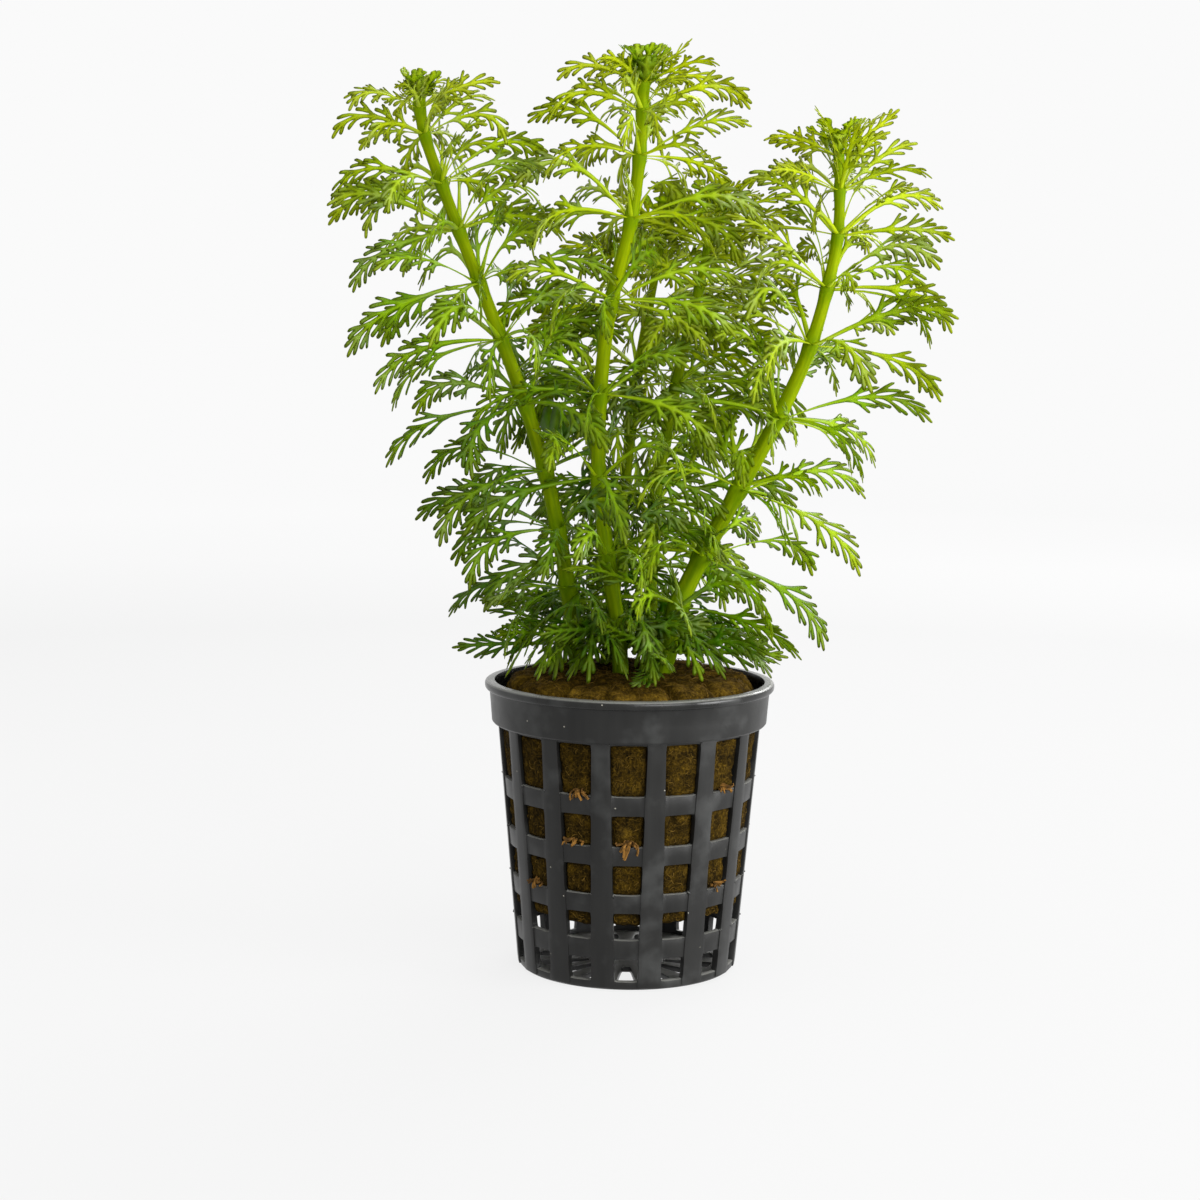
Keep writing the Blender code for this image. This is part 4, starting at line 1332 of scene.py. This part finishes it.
def arching(whorl, turn, chance):
    """A leaf that rises from a low ring and droops to the wool."""
    out = Vector((math.cos(turn), math.sin(turn), 0))
    up = Vector((0, 0, 1))
    length = chance.uniform(*ARCH_LENGTHS)
    base = whorl["centre"] + out * whorl["radius"]
    tip = base + out * length
    tip.z = WOOL_LEVEL + chance.uniform(*ARCH_HEIGHTS) * MM
    middle = base + out * length / 2 + up * length * chance.uniform(*ARCH_RISES)
    return {"base": base, "middle": middle, "tip": tip, "side": up.cross(out)}


def tall_leaf(whorl, tip):
    """One leaf that stands taller than the bud."""
    out = (tip - whorl["centre"]).to_2d().normalized().to_3d()
    base = whorl["centre"] + out * whorl["radius"]
    middle = (base + tip) / 2 - out * 0.4 * MM
    return {"base": base, "middle": middle, "tip": tip, "side": Vector((0, 0, 1)).cross(out)}


def fill_ring(stem, number, whorl, chance):
    """The leaves that are added to a ring: between its own, in the crown and at the base."""
    centre = whorl["centre"]
    thinned = THINNED if centre.z < THIN_BELOW else 1
    ring = sorted(whorl["leaves"], key=lambda kite: math.atan2(*(kite["base"] - centre).yx))
    more = []
    for index, (one, other) in enumerate(zip(ring, ring[1:] + ring[:1])):
        ahead = one["tip"] + other["tip"] - 2 * centre
        back, front = ahead.y > abs(ahead.x), ahead.y < -abs(ahead.x)
        share = BACK_SHARE if back else FRONT_SHARE if front else SIDE_SHARE
        for lift in (STEEPER, LOWER) if back else ((STEEPER, LOWER)[index % 2],):
            length = chance.uniform(*FILL_LENGTHS)
            lift += math.radians(chance.uniform(-FILL_WOBBLE, FILL_WOBBLE))
            if number > 2 and chance.random() < share * thinned:
                more.append(halfway(one, other, centre, lift, length))
        if number in CROWN_RINGS and chance.random() < CROWN_SHARE:
            more.append(halfway(one, other, centre, CROWN_LIFT, chance.uniform(*CROWN_LENGTHS)))
    if centre.z < BASE_LEVEL:
        start = chance.uniform(0, 2 * math.pi)
        for step in range(ARCH_COUNT):
            more.append(arching(whorl, start + 2 * math.pi * step / ARCH_COUNT, chance))
    if (stem, number) == (TALL_STEM, 2):
        more.append(tall_leaf(whorl, TALL_TIP))
    return more


print("fill leaves stand up to", round(math.degrees(STEEPEST)), "degrees")

# %% [markdown]
# The copies of one ring are joined into one piece, which takes the place of that ring in the
# frame. Age runs from nothing at a stem's tip towards one at its foot, and the rings at the base
# are the oldest. On the left stem, whose leaves are the darkest, it runs over a shorter way, which
# is painted shade, as that stem stands in the shade of the others. The ring round a bud is as old
# and dark as the bud, which on the left stem is a tight dark ball and on the others looser and
# paler. A painted shade marks its leaves as rim up to a share, which darkens them to olive, as
# the shade inside a tight bud does.

# %% Lay the leaves ring by ring
# How far down each stem its leaves age, shorter on the left as painted shade, and the age and painted shade
# of its bud.
GREENS = {
    "left": {"ageing_and_shade": 32 * MM, "bud_age": 0.38, "bud_painted_shade": 1.0},
    "right": {"ageing_and_shade": 60 * MM, "bud_age": 0.25, "bud_painted_shade": 0.3},
    "centre": {"ageing_and_shade": 50 * MM, "bud_age": 0.50, "bud_painted_shade": 0.7},
    "back_right": {"ageing_and_shade": 50 * MM, "bud_age": 0.40, "bud_painted_shade": 0.4},
    "back_left": {"ageing_and_shade": 50 * MM, "bud_age": 0.40, "bud_painted_shade": 0.4},
}
BASE_AGE = 0.96


def lay_ring(stem, number, whorl, top, chance):
    """All the leaves of one ring, joined, and how many they are."""
    green = GREENS[stem]
    age = green["bud_age"]
    if number > 1:
        age = 1 - math.exp(-(top - whorl["centre"].z) / green["ageing_and_shade"])
    if whorl["centre"].z < BASE_LEVEL:
        age = max(age, BASE_AGE)
    kites = whorl["leaves"] + fill_ring(stem, number, whorl, chance)
    leaves = [lay_leaf(kite, whorl["centre"], whorl["radius"], age, chance) for kite in kites]
    # Painted shade: the ring round the bud is darkened to olive like the bud.
    if number == 1:
        for leaf in leaves:
            set_mark(leaf, RIM_MARK, lambda rim: np.maximum(rim, green["bud_painted_shade"]))
    ring = join_pieces(f"{stem}_leaves_{number:02d}", leaves)
    settle(ring, living_leaf, "leaf", whorl["node"])
    return ring, len(kites)


chance = random.Random(5)
rings = []
laid = 0
for stem in STEM_NAMES:
    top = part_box(f"stem_{stem}")[1].z
    for number, whorl in enumerate(whorls[stem], 1):
        ring, count = lay_ring(stem, number, whorl, top, chance)
        rings.append(ring)
        laid += count
triangles = sum(len(face.vertices) - 2 for ring in rings for face in ring.data.polygons)
print(len(rings), "rings of", laid, "leaves,", triangles, "triangles")

# %% [markdown]
# A stem ends in a bud, where the youngest leaves are still folded over each other. Each bud is a
# spiral of tiny leaves a golden angle apart, the outer ones leaning out and the inner ones
# upright, all curving in over the tip.

# %% Buds
BUDS = {
    "left": {"length": 3.9, "count": 14, "depth": 2.2, "widest": 66},
    "right": {"length": 5.0, "count": 5, "depth": 4.4, "widest": 50},
    "centre": {"length": 5.8, "count": 9, "depth": 4.4, "widest": 52},
    "back_right": {"length": 4.6, "count": 6, "depth": 4.4, "widest": 50},
    "back_left": {"length": 4.4, "count": 6, "depth": 4.4, "widest": 50},
}
GOLDEN_TURN = math.radians(137.5)
LEAST_LEAN = 10
INNER_SHORTER = 0.22
CURL_IN = 0.6
BUD_TWIST, BUD_TURN = 0.4, 0.2


def lay_bud(stem, length, count, depth, widest, chance):
    """A spiral of tiny leaves round a stem's tip, joined, with lengths in mm and leans in degrees."""
    tip, _ = stem_end(f"stem_{stem}", True)
    up = (tip - whorls[stem][0]["centre"]).normalized()
    leaves = []
    for index in range(count):
        share = index / (count - 1)
        turn = index * GOLDEN_TURN + chance.uniform(-BUD_TURN, BUD_TURN)
        out = Vector((math.cos(turn), math.sin(turn), 0))
        out = (out - up * out.dot(up)).normalized()
        lean = math.radians(LEAST_LEAN + (widest - LEAST_LEAN) * (1 - share))
        size = length * MM * (1 - INNER_SHORTER * share)
        start = tip - up * (depth - share) * MM + out * 0.5 * MM
        middle = start + (up * math.cos(lean) + out * math.sin(lean)) * size * 0.55
        end = start + (up * math.cos(CURL_IN * lean) + out * math.sin(CURL_IN * lean)) * size
        twist = chance.uniform(-BUD_TWIST, BUD_TWIST)
        frames = bend_frames(start, middle, end, up.cross(out), twist, 0)
        leaf = copy_leaf("bud", frames, GREENS[stem]["bud_age"], chance)
        # Painted shade: each bud leaf is marked as rim up to a share, which darkens it.
        set_mark(leaf, RIM_MARK, lambda rim: np.maximum(rim, GREENS[stem]["bud_painted_shade"]))
        leaves.append(leaf)
    bud = join_pieces(f"{stem}_bud", leaves)
    settle(bud, living_leaf, "leaf")
    return bud


buds = [lay_bud(stem, **BUDS[stem], chance=chance) for stem in STEM_NAMES]
for sheet in patterns.values():
    bpy.data.objects.remove(sheet)
print({bud.name: len(bud.data.polygons) for bud in buds}, "faces")

# %% [markdown]
# Loose fibres stand off the wool and blur its surface. One fibre is modelled as a thin square rod
# in six parts, and bent copies of it arch from one place on the wool to another nearby. The
# places are found by looking along a ray: down onto the top and inwards through the windows.

# %% Fibres on the wool
FIBRE_HALF = 0.05 * MM
THIN = (0.5, 0.9)
TOP_FIBRES = 620
TOP_RADIUS = 23 * MM
FIBRE_REACH = (0.8 * MM, 2.4 * MM)
FIBRE_RISE = (0.1 * MM, 0.45 * MM)
FIBRE_SWAY = 0.3


def model_fibre():
    """A square rod along +X, as long as a leaf pattern, in six parts."""
    bpy.ops.mesh.primitive_cube_add(size=1, location=(LEAF_LENGTH / 2, 0, 0),
                                    scale=(LEAF_LENGTH, 2 * FIBRE_HALF, 2 * FIBRE_HALF))
    rod = start_piece("fibre")
    enter_edit("EDGE")
    pick("edges", lambda edge: abs(edge.verts[0].co.x - edge.verts[1].co.x) > NEAR)
    bpy.ops.mesh.subdivide(number_cuts=5)
    select_only(rod)
    return rod


def on_top(x, y):
    """The place on the wool below a point of the plan."""
    hit, place, _, _ = plug.ray_cast(Vector((x, y, 0.08)), Vector((0, 0, -1)))
    return place if hit else None


def in_window(z, angle):
    """The place on the wool behind a window, at a height in metres and an angle from the front."""
    outside = around(30, z / MM, angle)
    hit, place, _, _ = plug.ray_cast(outside, -Vector((outside.x, outside.y, 0)).normalized())
    return place if hit else None


def lay_fibre(start, tip, lift, width, chance):
    """A copy of the fibre that arches from one place to another."""
    fibre = copy_piece(rod)
    side = (tip - start).cross(lift).normalized()
    middle = (start + tip) / 2 + lift
    sway = chance.uniform(-FIBRE_SWAY, FIBRE_SWAY) * (tip - start).length
    frames = bend_frames(start, middle, tip, side, 0, sway)
    fibre.data.vertices.foreach_set("co", bent(rod_places, frames, width).ravel())
    return fibre


rod = model_fibre()
rod_places = np.array([vert.co for vert in rod.data.vertices])
chance = random.Random(17)
fibres = []
while len(fibres) < TOP_FIBRES:
    radius = TOP_RADIUS * math.sqrt(chance.random())
    turn = chance.uniform(0, 2 * math.pi)
    reach, way = chance.uniform(*FIBRE_REACH), chance.uniform(0, 2 * math.pi)
    start = on_top(radius * math.cos(turn), radius * math.sin(turn))
    tip = start and on_top(start.x + reach * math.cos(way), start.y + reach * math.sin(way))
    if tip and tip.to_2d().length < TOP_RADIUS:
        lift = Vector((0, 0, chance.uniform(*FIBRE_RISE)))
        fibres.append(lay_fibre(start, tip, lift, chance.uniform(*THIN), chance))
top_fuzz = join_pieces("top_fibres", fibres)
settle(top_fuzz, wool_fibre, "rockwool")
print("top fibres have", len(top_fuzz.data.polygons), "faces")

# %% [markdown]
# The fibres in the windows are short, and there are fewer in each lower row. The lowest row opens
# on the space under the plug, so it has none.

# %% Fibres in the windows
WINDOW_FIBRES = 9
SILL_MARGIN = 0.8
LOWEST_FIBRE = 13.2
OUTWARDS = (0.05, 0.25)

fibres = []
for row, (top, foot) in enumerate(WINDOW_ROWS[:4]):
    for column in range(COLUMNS):
        for _ in range(WINDOW_FIBRES - row):
            half = half_window((top + foot) / 2) * 0.8
            angle = column * COLUMN_ANGLE + chance.uniform(-half, half)
            height = chance.uniform(max(foot + SILL_MARGIN, LOWEST_FIBRE), top - SILL_MARGIN)
            start = in_window(height * MM, angle)
            tip = in_window((height + chance.uniform(-1, 1)) * MM, angle + chance.uniform(-0.05, 0.05))
            lift = Vector((start.x, start.y, 0)).normalized() * chance.uniform(*OUTWARDS) * MM
            fibres.append(lay_fibre(start, tip, lift, chance.uniform(*THIN), chance))
window_fuzz = join_pieces("window_fibres", fibres)
settle(window_fuzz, wool_fibre, "rockwool")
print("window fibres have", len(window_fuzz.data.polygons), "faces")

# %% [markdown]
# In some windows short dry roots have grown out and lie over the cross bar below. Each tuft is a
# fan of thicker copies of the same rod, from the foot of the window out over the bar. The tufts
# at the front are where the plant has them, and a few more are set round the back. Each has its
# column and row of window, its number of roots and how many millimetres it spills.

# %% Root tufts
TUFTS = ((-1, 0, 12, 0.9), (0, 1, 16, 2.6), (-1, 1, 9, 1.2), (-2, 2, 14, 0.8), (2, 2, 6, 0.7),
         (2, 0, 7, 0.8), (5, 1, 9, 1.4), (-6, 0, 10, 1.0), (7, 2, 8, 0.9))
TUFT_HALF, FAN_HALF = 0.03, 0.09
ROOT_STARTS, ROOT_ENDS = (0.3, 1.6), (0.35, 0.9)
ROOT_HIGHEST = 1.4
ROOT_WIDTHS = (2.4, 4.4)


def lay_tuft(column, row, count, spill):
    """A fan of roots at the foot of a window, spilling over its bar by some millimetres."""
    foot = WINDOW_ROWS[row][1]
    middle_angle = column * COLUMN_ANGLE + chance.uniform(-TUFT_HALF, TUFT_HALF)
    outside = wall_radius(foot)
    roots = []
    for _ in range(count):
        angle = middle_angle + chance.uniform(-TUFT_HALF, TUFT_HALF)
        start = around(outside - 0.7, foot + chance.uniform(*ROOT_STARTS), angle)
        fan = middle_angle + chance.uniform(-FAN_HALF, FAN_HALF)
        drop = foot + chance.uniform(-spill, ROOT_HIGHEST)
        over = outside + chance.uniform(*ROOT_ENDS)
        tip = around(over, drop, fan)
        lift = (around(over, foot + 0.7, fan) - (start + tip) / 2) * 0.6
        roots.append(lay_fibre(start, tip, lift, chance.uniform(*ROOT_WIDTHS), chance))
    return roots


roots = [root for tuft in TUFTS for root in lay_tuft(*tuft)]
tufts = join_pieces("root_tufts", roots)
settle(tufts, root_fibre, "rockwool")
bpy.data.objects.remove(rod)
print(len(TUFTS), "tufts have", len(tufts.data.polygons), "faces")

# %% [markdown]
# Where the mould's cutters met, small burrs of plastic are left on the edges of some windows. They
# show on the outline of the pot. One burr is a small cone, and copies of it sit at seeded places.

# %% Burrs
BURRS = 46
BURR_SIZES = (0.6, 1.2)
bpy.ops.mesh.primitive_cone_add(vertices=6, radius1=0.34 * MM, radius2=0.10 * MM, depth=0.55 * MM)
burr = start_piece("burr")
burrs = []
for _ in range(BURRS):
    row = chance.randrange(4)
    level = WINDOW_ROWS[row][1] + chance.uniform(-0.2, 0.1)
    angle = chance.randrange(COLUMNS) * COLUMN_ANGLE + chance.choice((-1, 1)) * half_window(level)
    place = around(wall_radius(level) + 0.12, level, angle + chance.uniform(-0.01, 0.01))
    out = Vector((place.x, place.y, chance.uniform(-0.01, 0.01))).normalized()
    tilt = out.to_track_quat("Z", "Y").to_matrix().to_4x4()
    size = Matrix.Scale(chance.uniform(*BURR_SIZES), 4)
    spot = copy_piece(burr)
    spot.data.transform(Matrix.Translation(place) @ tilt @ size)
    burrs.append(spot)
bpy.data.objects.remove(burr)
burrs = join_pieces("mould_burrs", burrs)
bpy.ops.object.shade_smooth()
settle(burrs, polypropylene, "pot_plastic")
print("burrs have", len(burrs.data.polygons), "faces")

low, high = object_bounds()
size = {"cad": [list(cad_low), list(cad_high)], "visual": [list(low), list(high)]}
